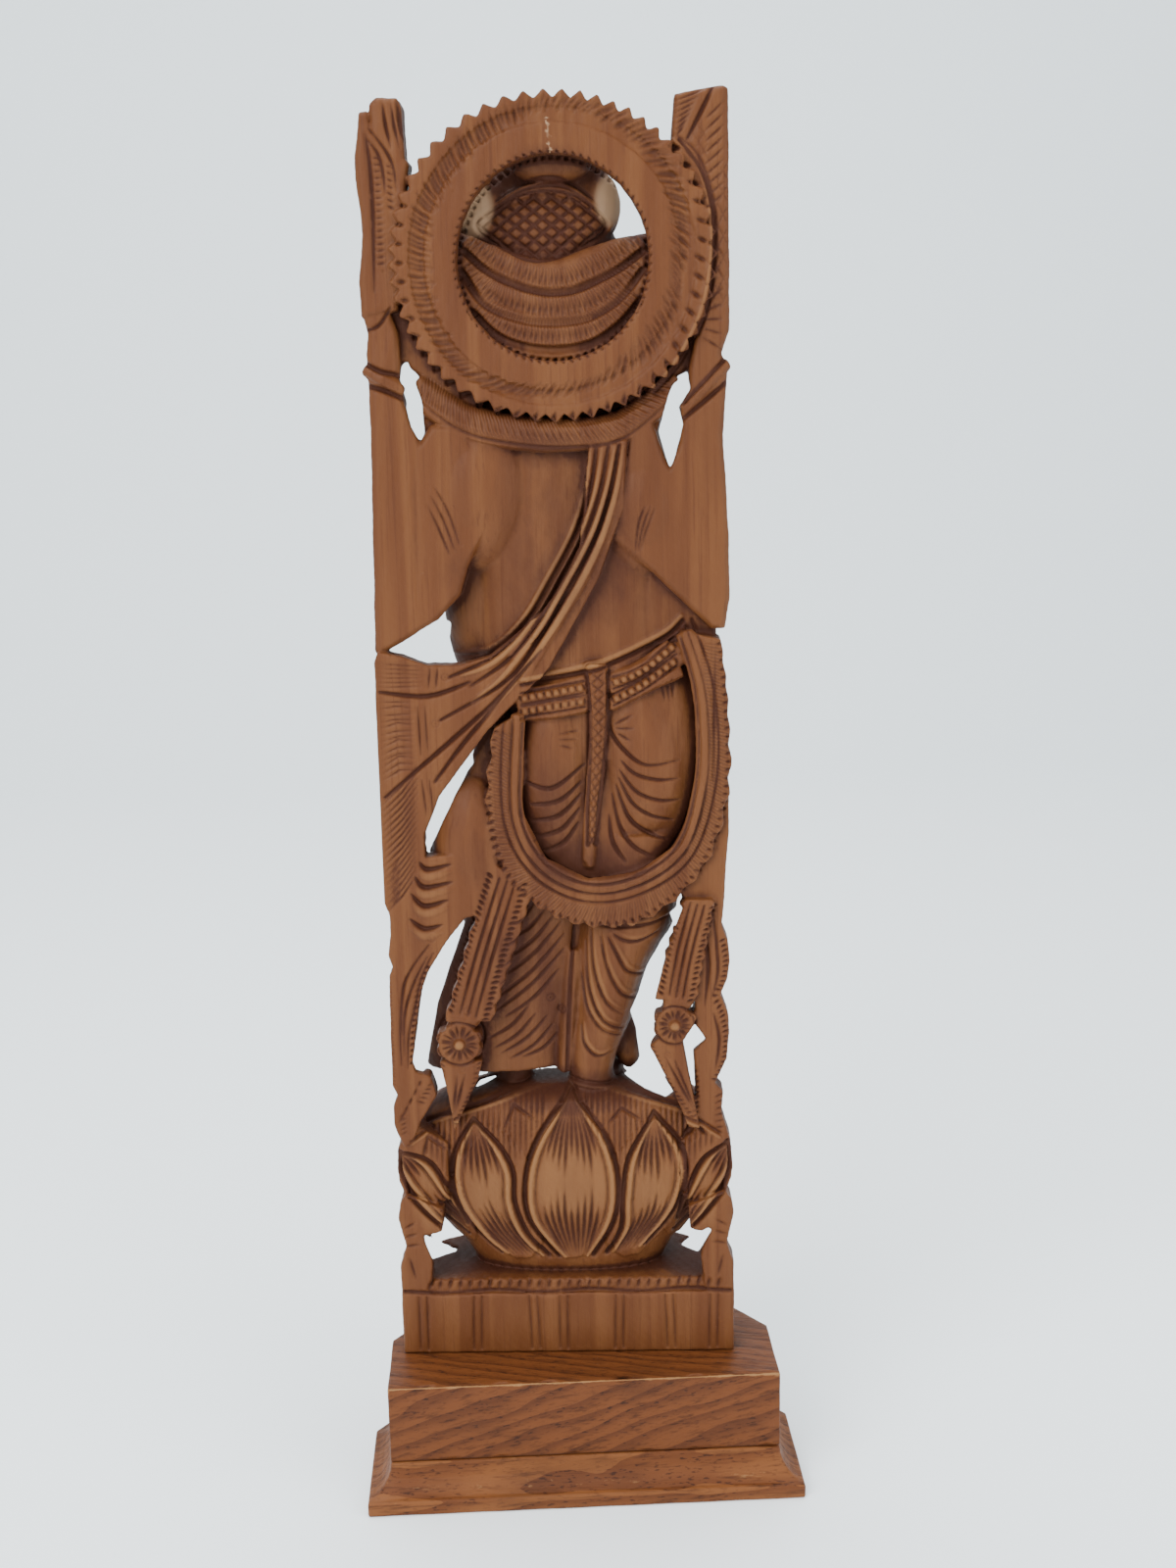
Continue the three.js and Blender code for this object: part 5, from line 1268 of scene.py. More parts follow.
class Signal:
    """A node's output that takes part in ordinary arithmetic."""

    def __init__(self, shader: "Shader", socket: bpy.types.NodeSocket) -> None:
        """Keeps the socket and the material that it belongs to."""
        self.shader = shader
        self.socket = socket

    def _join(self, operation: str, first: Any, second: Any) -> "Signal":
        """Adds a Math node and returns its result."""
        return self.shader.node("ShaderNodeMath", {"operation": operation}, {0: first, 1: second})

    def __add__(self, other: Any) -> "Signal":
        """Adds."""
        return self._join("ADD", self, other)

    def __radd__(self, other: Any) -> "Signal":
        """Adds, with the number first."""
        return self._join("ADD", other, self)

    def __sub__(self, other: Any) -> "Signal":
        """Subtracts."""
        return self._join("SUBTRACT", self, other)

    def __mul__(self, other: Any) -> "Signal":
        """Multiplies."""
        return self._join("MULTIPLY", self, other)

    def wave(self, pitch: float) -> "Signal":
        """Turns a length into ripples from 0 to 1 at an even pitch."""
        return self._join("SINE", self * (2 * math.pi / pitch), 0.0) * 0.5 + 0.5

    def ramp(self, low: float, high: float) -> "Signal":
        """Rises smoothly from 0 at low to 1 at high."""
        sockets = {"Value": self, "From Min": low, "From Max": high}
        return self.shader.node("ShaderNodeMapRange", {"interpolation_type": "SMOOTHSTEP"}, sockets)


class Shader:
    """A material under construction."""

    def __init__(self, name: str) -> None:
        """Starts an empty material."""
        self.material = bpy.data.materials.new(name)
        self.material.use_nodes = True
        self.tree = self.material.node_tree
        self.tree.nodes.clear()

    def node(
        self,
        kind: str,
        settings: dict[str, Any] | None = None,
        inputs: dict[Any, Any] | None = None,
        output: Any = 0,
    ) -> Signal:
        """Adds a node.

        Args:
            kind: The node's type.
            settings: Its properties, or the stops of its ramp under "stops".
            inputs: Values or signals for its sockets, by name or number.
            output: The output that is wanted, by name or number.

        Returns:
            The output, ready for arithmetic.
        """
        made = self.tree.nodes.new(kind)
        for key, value in (settings or {}).items():
            if key == "stops":
                self._stops(made.color_ramp, value)
            else:
                setattr(made, key, value)
        for key, value in (inputs or {}).items():
            if isinstance(value, Signal):
                self.tree.links.new(value.socket, made.inputs[key])
            else:
                made.inputs[key].default_value = value
        return Signal(self, made.outputs[output])

    @staticmethod
    def _stops(ramp: bpy.types.ColorRamp, stops: Sequence[tuple[float, Sequence[float]]]) -> None:
        """Sets the stops of a colour ramp."""
        for index, (position, colour) in enumerate(stops):
            stop = ramp.elements[index] if index < 2 else ramp.elements.new(position)
            stop.position = position
            stop.color = (*colour, 1.0)

    def place(
        self, scale: Sequence[float], turn: Sequence[float] = (0, 0, 0), shift: Sequence[float] = (0, 0, 0)
    ) -> Signal:
        """Returns object coordinates that are shifted, turned and scaled."""
        where = self.node("ShaderNodeTexCoord", output="Object")
        if any(turn):
            where = self.node("ShaderNodeMapping", inputs={"Vector": where, "Rotation": turn})
        return self.node("ShaderNodeMapping", inputs={"Vector": where, "Location": shift, "Scale": scale})

    def noise(self, where: Signal, detail: float, rough: float = 0.55, warp: float = 0.0) -> Signal:
        """Returns a noise pattern from 0 to 1."""
        inputs = {"Vector": where, "Scale": 1.0, "Detail": detail, "Roughness": rough, "Distortion": warp}
        return self.node("ShaderNodeTexNoise", {"noise_dimensions": "3D"}, inputs)

    def mix(self, share: Any, first: Any, second: Any) -> Signal:
        """Blends two colours."""
        settings = {"data_type": "RGBA", "blend_type": "MIX", "clamp_factor": True}
        return self.node("ShaderNodeMix", settings, {0: share, 6: first, 7: second}, 2)

    def attribute(self, name: str) -> Signal:
        """Reads a number that is stored on the mesh."""
        return self.node("ShaderNodeAttribute", {"attribute_name": name}, output="Fac")

    def finish(
        self,
        colour: Signal,
        rough: Signal,
        height: Signal,
        bump: float,
        depth: float,
        fixed: dict[str, float],
    ) -> bpy.types.Material:
        """Joins everything in the surface shader.

        Args:
            colour: The base colour.
            rough: The roughness.
            height: The bump pattern.
            bump: The bump's strength.
            depth: The bump's depth in metres.
            fixed: Other sockets of the shader, each one value all over.

        Returns:
            The finished material.
        """
        pattern = {"Strength": bump, "Distance": depth, "Height": height}
        normal = self.node("ShaderNodeBump", {}, pattern, "Normal")
        inputs = {"Base Color": colour, "Roughness": rough, "Normal": normal, **fixed}
        surface = self.node("ShaderNodeBsdfPrincipled", {}, inputs)
        output = self.tree.nodes.new("ShaderNodeOutputMaterial")
        self.tree.links.new(surface.socket, output.inputs["Surface"])
        return self.material


def shade(red: int, green: int, blue: int) -> tuple[float, float, float, float]:
    """Turns a screen colour from 0 to 255 into the linear colour that a shader takes."""
    parts = [c / 255 for c in (red, green, blue)]
    linear = [c / 12.92 if c <= 0.04045 else ((c + 0.055) / 1.055) ** 2.4 for c in parts]
    return (*linear, 1.0)


@dataclass(frozen=True)
class CarvedWood:
    """Waxed wood, tan where it stands proud with rubbing and painted highlight, and red-brown with stain and
    painted shade where it is cut in.
    """

    # Lighter colour for rubbed wood, painted highlight on proud parts and painted light on the lotus and
    # base.
    rubbed_and_highlight: tuple[float, ...] = shade(124, 85, 51)
    tan: tuple[float, ...] = shade(94, 56, 29)
    honey: tuple[float, ...] = shade(82, 45, 21)
    streak: tuple[float, ...] = shade(68, 34, 16)
    # Dark colour for the stain and for painted shade in cuts, hollows and fine grooves.
    shade_and_stain: tuple[float, ...] = shade(50, 21, 12)
    pale: tuple[float, ...] = shade(140, 112, 86)
    roughness: float = 0.55

    def material(self) -> bpy.types.Material:
        """Returns the material, with the grain upright."""
        shader = Shader("carved_wood")
        fibres = shader.noise(shader.place((900, 900, 26)), 5.0, 0.6)
        bands = shader.noise(shader.place((150, 150, 5)), 3.0, 0.5, 0.6)
        patches = shader.noise(shader.place((34, 34, 14), shift=(3, 1, 2)), 3.0, 0.55)
        pores = shader.noise(shader.place((2600, 2600, 190)), 2.0, 0.5)
        body = shader.mix(bands.ramp(0.36, 0.64), self.honey, self.tan)
        body = shader.mix(fibres.ramp(0.52, 0.72) * 0.5, body, self.streak)
        body = shader.mix(patches.ramp(0.56, 0.72) * 0.35, body, self.streak)
        # Rubbed wood and painted highlight where the wood stands proud, and painted light over the lotus and
        # base, lift the colour.
        worn = shader.attribute("worn")
        body = shader.mix(worn.ramp(0.25, 0.95) * 0.8, body, self.rubbed_and_highlight)
        # Painted shade in hollows, in cuts and on faces deep inside the board, with the stain in the cuts,
        # darkens towards the dark colour.
        recess = shader.attribute("recess")
        mottle = shader.noise(shader.place((420, 420, 260)), 3.0, 0.6)
        shaded_and_stained = (recess * 1.1 + (mottle - 0.5) * 0.35).ramp(0.12, 1.0)
        body = shader.mix(shaded_and_stained * 0.85, body, self.shade_and_stain)
        wobble = shader.noise(shader.place((160, 160, 160)), 2.0) * 1.3
        # Hair-fine grooves drawn as dark lines: the painted shade and stain of grooves too fine for the mesh.
        strands = shader.attribute("fur") * (shader.attribute("strand") + wobble).wave(1.05)
        body = shader.mix(strands * 0.36, body, self.shade_and_stain)
        body = shader.mix(shader.attribute("bare").ramp(0.2, 0.8), body, self.pale)
        rough = self.roughness + (fibres - 0.5) * 0.25 + shaded_and_stained * 0.12
        height = fibres * 0.6 + pores * 0.4 + mottle * 0.35 - strands * 1.1
        return shader.finish(body, rough, height, 0.35, 0.0004, {"Specular IOR Level": WAX_SHEEN})


@dataclass(frozen=True)
class PlinthWood:
    """Darker oiled wood with a slanting grain and worn edges."""

    name: str
    light: tuple[float, ...] = shade(94, 52, 24)
    middle: tuple[float, ...] = shade(76, 40, 18)
    dark: tuple[float, ...] = shade(42, 20, 10)
    worn: tuple[float, ...] = shade(138, 100, 62)
    shadow: tuple[float, ...] = shade(46, 22, 14)
    tilt: float = -0.4
    roughness: float = 0.5

    def material(self) -> bpy.types.Material:
        """Returns the material, with the grain running along the board."""
        shader = Shader(self.name)
        turn = (0.9, self.tilt, 0.0)
        rings = shader.node(
            "ShaderNodeTexWave",
            {"wave_type": "BANDS", "bands_direction": "Z", "wave_profile": "SAW"},
            {
                "Vector": shader.place((14, 30, 82), turn),
                "Scale": 1.0,
                "Distortion": 13.0,
                "Detail": 3.0,
                "Detail Scale": 0.55,
                "Detail Roughness": 0.62,
            },
            "Fac",
        )
        fibres = shader.noise(shader.place((70, 700, 900), turn), 5.0, 0.6)
        pores = shader.noise(shader.place((380, 1300, 1500), turn), 2.0, 0.5)
        patches = shader.noise(shader.place((24, 30, 60)), 3.0, 0.55)
        body = shader.mix(rings.ramp(0.25, 0.95), self.light, self.middle)
        body = shader.mix(fibres.ramp(0.5, 0.72) * 0.6, body, self.dark)
        body = shader.mix(pores.ramp(0.56, 0.68) * (rings.ramp(0.3, 0.9) * 0.6 + 0.25), body, self.dark)
        body = shader.mix(patches.ramp(0.5, 0.75) * 0.4, body, self.dark)
        chipped = shader.noise(shader.place((240, 600, 700)), 4.0, 0.65)
        edge = shader.attribute("edge")
        body = shader.mix((edge * 1.3 + (chipped - 0.62) * 1.5).ramp(0.45, 0.8) * 0.85, body, self.worn)
        # Painted shade along a board's foot, in the shadow colour.
        recess = shader.attribute("recess")
        body = shader.mix(recess.ramp(0.1, 0.9) * 0.9, body, self.shadow)
        rough = self.roughness + (fibres - 0.5) * 0.3 + edge * 0.15
        height = fibres * 0.7 + pores * 0.6 - rings * 0.3
        return shader.finish(body, rough, height, 0.4, 0.0004, {"Specular IOR Level": WAX_SHEEN})


def mesh_object(name: str, mesh: bpy.types.Mesh) -> bpy.types.Object:
    """Puts a mesh in the scene under a name and returns its object."""
    made = bpy.data.objects.new(name, mesh)
    bpy.context.scene.collection.objects.link(made)
    return made


def to_mesh(bm: bmesh.types.BMesh, name: str) -> bpy.types.Mesh:
    """Turns a bmesh into a mesh and frees it."""
    mesh = bpy.data.meshes.new(name)
    bm.to_mesh(mesh)
    bm.free()
    return mesh


def shade_smooth(mesh: bpy.types.Mesh) -> None:
    """Shades all faces of a mesh smooth."""
    mesh.polygons.foreach_set("use_smooth", np.ones(len(mesh.polygons), bool))


def store(mesh: bpy.types.Mesh, layers: dict[str, np.ndarray]) -> None:
    """Stores numbers for each point of a mesh, under the names that its material reads."""
    for name, values in layers.items():
        layer = mesh.attributes.new(name, "FLOAT", "POINT")
        layer.data.foreach_set("value", values.astype(np.float32))


def settle(made: bpy.types.Object) -> bpy.types.Object:
    """Applies an object's modifiers to its mesh and returns the object."""
    seen = made.evaluated_get(bpy.context.evaluated_depsgraph_get())
    mesh = bpy.data.meshes.new_from_object(seen)
    made.modifiers.clear()
    old = made.data
    made.data = mesh
    bpy.data.meshes.remove(old)
    return made


def read_points(mesh: bpy.types.Mesh) -> tuple[np.ndarray, np.ndarray]:
    """Returns the places and the normals of a mesh's points."""
    count = len(mesh.vertices)
    places = np.empty(count * 3, np.float32)
    mesh.vertices.foreach_get("co", places)
    normals = np.empty(count * 3, np.float32)
    mesh.vertex_normals.foreach_get("vector", normals)
    return places.reshape(-1, 3), normals.reshape(-1, 3)


def write_points(mesh: bpy.types.Mesh, places: np.ndarray) -> None:
    """Moves a mesh's points to new places."""
    mesh.vertices.foreach_set("co", places.ravel())
    mesh.update()


def box_blur(grid: np.ndarray, radius: int) -> np.ndarray:
    """Averages a grid over a square window."""
    padded = np.pad(grid, radius + 1, mode="edge")
    total = padded.cumsum(0).cumsum(1)
    size = 2 * radius + 1
    rows, columns = grid.shape
    s = total[size : size + rows, size : size + columns] - total[:rows, size : size + columns]
    s = s - total[size : size + rows, :columns] + total[:rows, :columns]
    return s / size**2


@dataclass
class Openings:
    """The openings that go right through the board, as outlines in its back face."""

    outlines: tuple[Path, ...] = (
        ((-38.2, 304.4), (-40.2, 303.0), (-41.0, 298.9), (-39.2, 296.0), (-39.4, 291.0), (-38.0, 284.8),
         (-36.0, 281.8), (-34.4, 286.0), (-34.4, 292.6), (-37.1, 300.7)),
        ((38.1, 298.2), (35.6, 296.6), (34.6, 294.6), (31.2, 283.6), (33.4, 274.8), (34.8, 272.2),
         (37.3, 279.1),
         (38.7, 285.3), (37.4, 290.2), (40.5, 293.8), (40.2, 297.0)),
        ((-30.4, 231.4), (-40.6, 226.8), (-45.0, 223.6), (-42.5, 220.8), (-36.4, 218.8), (-34.0, 221.3),
         (-29.0, 226.9), (-28.6, 230.8)),
        ((-23.8, 192.2), (-30.4, 185.0), (-34.4, 178.3), (-36.5, 172.6), (-39.0, 165.0), (-38.2, 163.2),
         (-36.6, 164.6), (-29.2, 179.4), (-25.2, 186.7), (-23.4, 189.0)),
        ((-27.2, 142.8), (-31.8, 137.4), (-36.1, 131.3), (-38.9, 126.0), (-41.3, 120.0), (-42.5, 110.7),
         (-44.4, 102.0), (-45.4, 97.0), (-44.6, 94.2), (-41.8, 93.5), (-40.2, 97.6), (-36.7, 115.3),
         (-31.4, 130.3), (-28.4, 138.0)),
        ((29.5, 129.2), (24.8, 121.2), (20.7, 112.2), (22.5, 106.7), (23.6, 97.0), (18.2, 92.0), (25.2, 86.9),
         (31.5, 84.0), (34.0, 86.2), (26.3, 100.0), (28.4, 104.1), (27.3, 109.1), (29.5, 119.0),
         (31.6, 127.8)),
        ((36.4, 145.2), (32.9, 143.0), (34.8, 137.4), (37.5, 144.4)),
        ((40.3, 108.4), (36.6, 102.4), (39.0, 98.8), (43.9, 103.0)),
        ((-16.4, 93.4), (-25.1, 91.0), (-28.0, 86.4)),
        ((-44.3, 40.8), (-43.8, 37.3), (-42.0, 31.6), (-35.6, 33.2), (-33.0, 34.9), (-38.0, 37.2)),
        ((44.2, 41.8), (38.3, 38.4), (35.0, 35.8), (41.0, 32.9), (42.2, 34.7), (45.6, 40.8)),
    )  # fmt: skip
    cut_from: tuple[float, float, float] = (20.0, 533.0, 299.0)
    depths: tuple[float, float] = (-6.0, 48.0)

    def build(self) -> bmesh.types.BMesh:
        """Returns the openings as solids, which widen away from a far point behind the board."""
        bm = bmesh.new()
        near, far = self.depths
        for outline in self.outlines:
            rim = [bm.verts.new(self._spread(u, near, h)) for u, h in outline]
            grown = bmesh.ops.extrude_face_region(bm, geom=[bm.faces.new(rim)])["geom"]
            for vert in (g for g in grown if isinstance(g, bmesh.types.BMVert)):
                u, h = outline[self._nearest(vert, outline, near)]
                vert.co = self._spread(u, far, h)
        bmesh.ops.recalc_face_normals(bm, faces=bm.faces)
        return bm

    def _spread(self, u: float, d: float, h: float) -> Vector:
        """Returns where a sight line from the far point through the back face at u, h lies at depth d."""
        from_u, distance, from_h = self.cut_from
        share = (distance + d) / distance
        return Vector((from_u + (u - from_u) * share, d, from_h + (h - from_h) * share))

    def _nearest(self, vert: bmesh.types.BMVert, outline: Path, depth: float) -> int:
        """Returns which point of an outline a corner of its solid was made from."""
        gaps = [(self._spread(u, depth, h) - vert.co).length for u, h in outline]
        return gaps.index(min(gaps))


@dataclass
class CarvedFigure:
    """The whole carving: one board, pierced and carved on both faces.

    A hollow is a reach in cells, the depth that counts as full and its weight in the painted shade. An
    ear is its middle and half sizes, and the crack is its line, all as they lie in u and h.
    """

    place: BoardPlace = BoardPlace()
    board_depth: float = 40.0
    rough_voxel: float = 0.7
    voxel: float = 0.44
    swell: float = 0.2
    most_triangles: int = 925_000
    bands: int = 6
    parts: tuple[Any, ...] = (
        Halo(), HeadBack(), HeldThings(), ArmsAndBack(), Sash(), Hips(), Loop(), Legs(), Ribbons(), Lotus(),
        BaseBlock(), FrontFigure(),
    )  # fmt: skip
    hollow_cell: float = 0.6
    hollow_grid: tuple[int, int] = (634, 184)
    hollows: tuple[tuple[int, float, float], ...] = ((3, 1.6, 0.55), (9, 4.5, 0.34), (22, 8.0, 0.24))
    ears: tuple[Sequence[float], ...] = ((-19.5, 346.0, 6.0, 9.0), (19.0, 347.5, 5.0, 8.0))
    crack: Path = ((2.9, 357.0), (2.1, 366.6), (1.4, 373.0))

    def build(self, node: bpy.types.Object, material: bpy.types.Material) -> list[bpy.types.Object]:
        """Builds the carving over its solid.

        Args:
            node: The solid of the frame, which is copied and stays as it is.
            material: The finish.

        Returns:
            The finished pieces, from the lowest band up.
        """
        made = mesh_object("carved_figure", self._rough_out(node))
        remesh = made.modifiers.new("remesh", "REMESH")
        remesh.mode = "VOXEL"
        remesh.voxel_size = self.voxel * MM
        smooth = made.modifiers.new("smooth", "SMOOTH")
        smooth.factor, smooth.iterations = 0.5, 3
        settle(made)
        LOG.info("roughed out with %d points", len(made.data.vertices))
        back, front = self._reliefs()
        self._carve(made.data, back, front)
        self._keep_inside(made.data, node)
        self._thin(made)
        self._tone(made.data, back, front)
        shade_smooth(made.data)
        made.data.materials.append(material)
        return self._parted(made)

    def _rough_out(self, node: bpy.types.Object) -> bpy.types.Mesh:
        """Merges a copy of the solid with the rounded forms and returns their mesh."""
        forms = Forms()
        for part in self.parts:
            if hasattr(part, "model"):
                part.model(forms)
        bmesh.ops.recalc_face_normals(forms.bm, faces=forms.bm.faces)
        rounded = self._opened(forms)
        solid = bmesh.new()
        solid.from_mesh(node.data)
        bmesh.ops.remove_doubles(solid, verts=solid.verts, dist=1e-6)
        solid.from_mesh(rounded)
        bpy.data.meshes.remove(rounded)
        return to_mesh(solid, "solid_copy")

    def _opened(self, forms: Forms) -> bpy.types.Mesh:
        """Merges the rounded forms in one skin, cuts the openings through it and returns its mesh."""
        matrix = self.place.matrix()
        pair = []
        for name, bm in (("rounded", forms.bm), ("holes", Openings().build())):
            bmesh.ops.transform(bm, matrix=matrix, verts=bm.verts)
            pair.append(mesh_object(name, to_mesh(bm, name)))
        rounded, cutter = pair
        remesh = rounded.modifiers.new("remesh", "REMESH")
        remesh.mode, remesh.voxel_size = "VOXEL", self.rough_voxel * MM
        boolean = rounded.modifiers.new("openings", "BOOLEAN")
        boolean.operation, boolean.solver, boolean.object = "DIFFERENCE", "MANIFOLD", cutter
        settle(rounded)
        mesh = rounded.data
        for made in pair:
            bpy.data.objects.remove(made)
        return mesh

    def _reliefs(self) -> tuple[Relief, Relief]:
        """Returns the carved relief of the back and of the front."""
        back, front = Relief(Side.BACK), Relief(Side.FRONT)
        for part in self.parts:
            part.carve(front if isinstance(part, FrontFigure) else back)
            if isinstance(part, Lotus):
                part.carve(front)
            if isinstance(part, Halo):
                part.carve_front(front)
        for relief in (back, front):
            relief.cut = box_blur(relief.cut, 1)
        return back, front

    def _on_board(self, places: np.ndarray, normals: np.ndarray) -> tuple[np.ndarray, np.ndarray]:
        """Returns places and normals as u, d, h."""
        turn = np.array(self.place.matrix().inverted())
        return places @ turn[:3, :3].T + turn[:3, 3], (normals @ turn[:3, :3].T) * MM

    def _carve(self, mesh: bpy.types.Mesh, back: Relief, front: Relief) -> None:
        """Moves the mesh's points by the reliefs, and by the small unevenness of hand work."""
        places, normals = read_points(mesh)
        board, facing = self._on_board(places, normals)
        u, d, h = board.T
        move = np.zeros(len(u), np.float32)
        for relief in (back, front):
            weight = np.clip((facing[:, 1] * relief.side.value - 0.12) / 0.4, 0, 1)
            height = relief.sample(u, h, relief.proud) - relief.sample(u, h, relief.cut)
            move += height * weight
        swaying = np.sin(u * 0.55 + 1.3 * np.sin(h * 0.11))
        move += 0.09 * swaying * np.sin(h * 0.31 + np.sin(u * 0.23) + d * 0.2)
        move += 0.05 * np.sin(u * 1.9 + h * 0.7) * np.sin(h * 1.3 - d * 1.1)
        places += normals * ((move + self.swell) * MM)[:, None]
        write_points(mesh, places)

    @staticmethod
    def _keep_inside(mesh: bpy.types.Mesh, node: bpy.types.Object) -> None:
        """Holds the mesh's points inside the box of the solid."""
        solid, _ = read_points(node.data)
        places, _ = read_points(mesh)
        places = np.clip(places, solid.min(0), solid.max(0))
        write_points(mesh, places)

    def _thin(self, made: bpy.types.Object) -> None:
        """Takes away triangles where the surface is plain."""
        triangles = 2 * len(made.data.vertices)
        decimate = made.modifiers.new("decimate", "DECIMATE")
        decimate.ratio = min(1.0, self.most_triangles / triangles)
        decimate.use_collapse_triangulate = True
        settle(made)
        LOG.info("thinned from %d to %d triangles", triangles, len(made.data.polygons))

    def _tone(self, mesh: bpy.types.Mesh, back: Relief, front: Relief) -> None:
        """Stores the painted shade with the stain in the cuts, the rubbed wood with painted highlight and
        light, and where it was left bare.
        """
        places, normals = read_points(mesh)
        board, facing = self._on_board(places, normals)
        u, d, h = board.T
        recess = np.zeros(len(u), np.float32)
        worn = np.zeros(len(u), np.float32)
        for relief in (back, front):
            seen = facing[:, 1] * relief.side.value
            weight = np.clip((seen + 0.15) / 0.5, 0, 1)
            depth = d if relief.side is Side.BACK else self.board_depth - d
            # Painted light over the lotus, its petals and the base: it cancels painted shade here and lifts
            # the colour below.
            bright = relief.sample(u, h, relief.bright)
            low = -bright
            # Painted shade where a point lies deeper than the surface round it, and a little painted
            # highlight where it stands above it.
            for reach, full, strength in self.hollows:
                hollow = self._hollow(u - relief.left, h - relief.low, depth, seen > -0.1, reach) / full
                low += np.clip(hollow, 0, 1) * strength
                worn += np.clip(-hollow, 0, 1) * weight * 0.1
            recess += np.maximum(low, 0) * weight
            worn += np.clip(bright, 0, 0.6) * weight
            # Painted shade and stain in the cuts, darker where a cut is deeper.
            cut = np.clip(relief.sample(u, h, relief.cut) * CUT_SHADE_AND_STAIN, 0, 0.85)
            recess += cut * np.clip((seen - 0.05) / 0.3, 0, 1)
            # The ovals of painted shade with some gathered stain, lessened in the lighter strokes.
            recess += relief.sample(u, h, relief.shade_and_stain) * weight
            # Rubbed wood and painted highlight on what stands proud.
            worn += np.clip(relief.sample(u, h, relief.proud), 0, 0.7) * weight
        # Painted shade on faces that turn sideways deep in the board, between its back and front.
        between = np.clip(1 - np.abs(facing[:, 1]) * 2.2, 0, 1) * np.clip((d - 3) / 8, 0, 1)
        recess += 0.35 * between
        bare = self._bare(u, d, h, facing[:, 1])
        recess *= 1 - 0.75 * bare
        fur = back.sample(u, h, back.fur) * np.clip((-facing[:, 1] - 0.05) / 0.3, 0, 1)
        fur *= 1 - 0.5 * np.clip(recess - 0.6, 0, 1)
        strand = back.sample(u, h, back.strand)
        recess, worn = np.clip(recess, 0, 1), np.clip(worn, 0, 1)
        store(mesh, {"recess": recess, "worn": worn, "bare": bare, "fur": fur, "strand": strand})

    def _bare(self, u: np.ndarray, d: np.ndarray, h: np.ndarray, facing: np.ndarray) -> np.ndarray:
        """Returns how bare the wood is at each point: on the ears, and along the crack in the ring."""
        bare = np.zeros(len(u), np.float32)
        for ear_u, ear_h, half_u, half_h in self.ears:
            near = ((u - ear_u) / half_u) ** 2 + ((h - ear_h) / half_h) ** 2
            bare = np.maximum(bare, np.clip(1.35 - near, 0, 1) * (d > 9) * (d < 30) * 0.75)
        line_u, line_h = np.array(self.crack).T
        aside = np.abs(u - np.interp(h, line_h, line_u) - 0.25 * np.sin(h * 2.1))
        aside *= 1 + 0.6 * np.sin(h * 3.7)
        on_ring = (h > 358) * (h < 368) * (facing < -0.3) * (d < 4)
        return np.maximum(bare, np.clip(0.8 - aside / 0.7, 0, 1) * on_ring)

    def _parted(self, whole: bpy.types.Object) -> list[bpy.types.Object]:
        """Parts the carving in level bands, which shade as one because they keep the whole's normals."""
        _, normals = read_points(whole.data)
        layer = whole.data.attributes.new("whole_normal", "FLOAT_VECTOR", "POINT")
        layer.data.foreach_set("vector", normals.ravel())
        heights = np.empty(len(whole.data.polygons) * 3, np.float32)
        whole.data.polygons.foreach_get("center", heights)
        cuts = [-1.0, *np.quantile(heights[2::3], np.arange(1, self.bands) / self.bands), 1.0]
        parts = []
        for band, (low, high) in enumerate(zip(cuts, cuts[1:]), 1):
            bm = bmesh.new()
            bm.from_mesh(whole.data)
            away = [f for f in bm.faces if not low <= f.calc_center_median().z < high]
            bmesh.ops.delete(bm, geom=away, context="FACES")
            mesh = to_mesh(bm, f"carving_{band}")
            kept = np.empty(len(mesh.vertices) * 3, np.float32)
            mesh.attributes["whole_normal"].data.foreach_get("vector", kept)
            mesh.attributes.remove(mesh.attributes["whole_normal"])
            mesh.normals_split_custom_set_from_vertices(kept.reshape(-1, 3))
            mesh.materials.append(whole.data.materials[0])
            parts.append(mesh_object(mesh.name, mesh))
        bpy.data.objects.remove(whole)
        return parts

    def _hollow(
        self, x: np.ndarray, y: np.ndarray, depth: np.ndarray, seen: np.ndarray, reach: int
    ) -> np.ndarray:
        """Measures how much deeper each point lies than the surface round it.

        Args:
            x: How far the points lie from the grid's left edge.
            y: How far they lie above its lower edge.
            depth: How deep they lie under the face.
            seen: Which points face that way.
            reach: The reach of the comparison, in cells.

        Returns:
            The difference in millimetres.
        """
        rows, columns = self.hollow_grid
        column = np.clip((x / self.hollow_cell).astype(int), 0, columns - 1)
        row = np.clip((y / self.hollow_cell).astype(int), 0, rows - 1)
        surface = np.full(self.hollow_grid, np.inf)
        np.minimum.at(surface, (row[seen], column[seen]), depth[seen])
        known = np.isfinite(surface)
        share = np.maximum(box_blur(known.astype(float), reach), 1e-3)
        mean = box_blur(np.where(known, surface, 0.0), reach) / share
        return depth - mean[row, column]


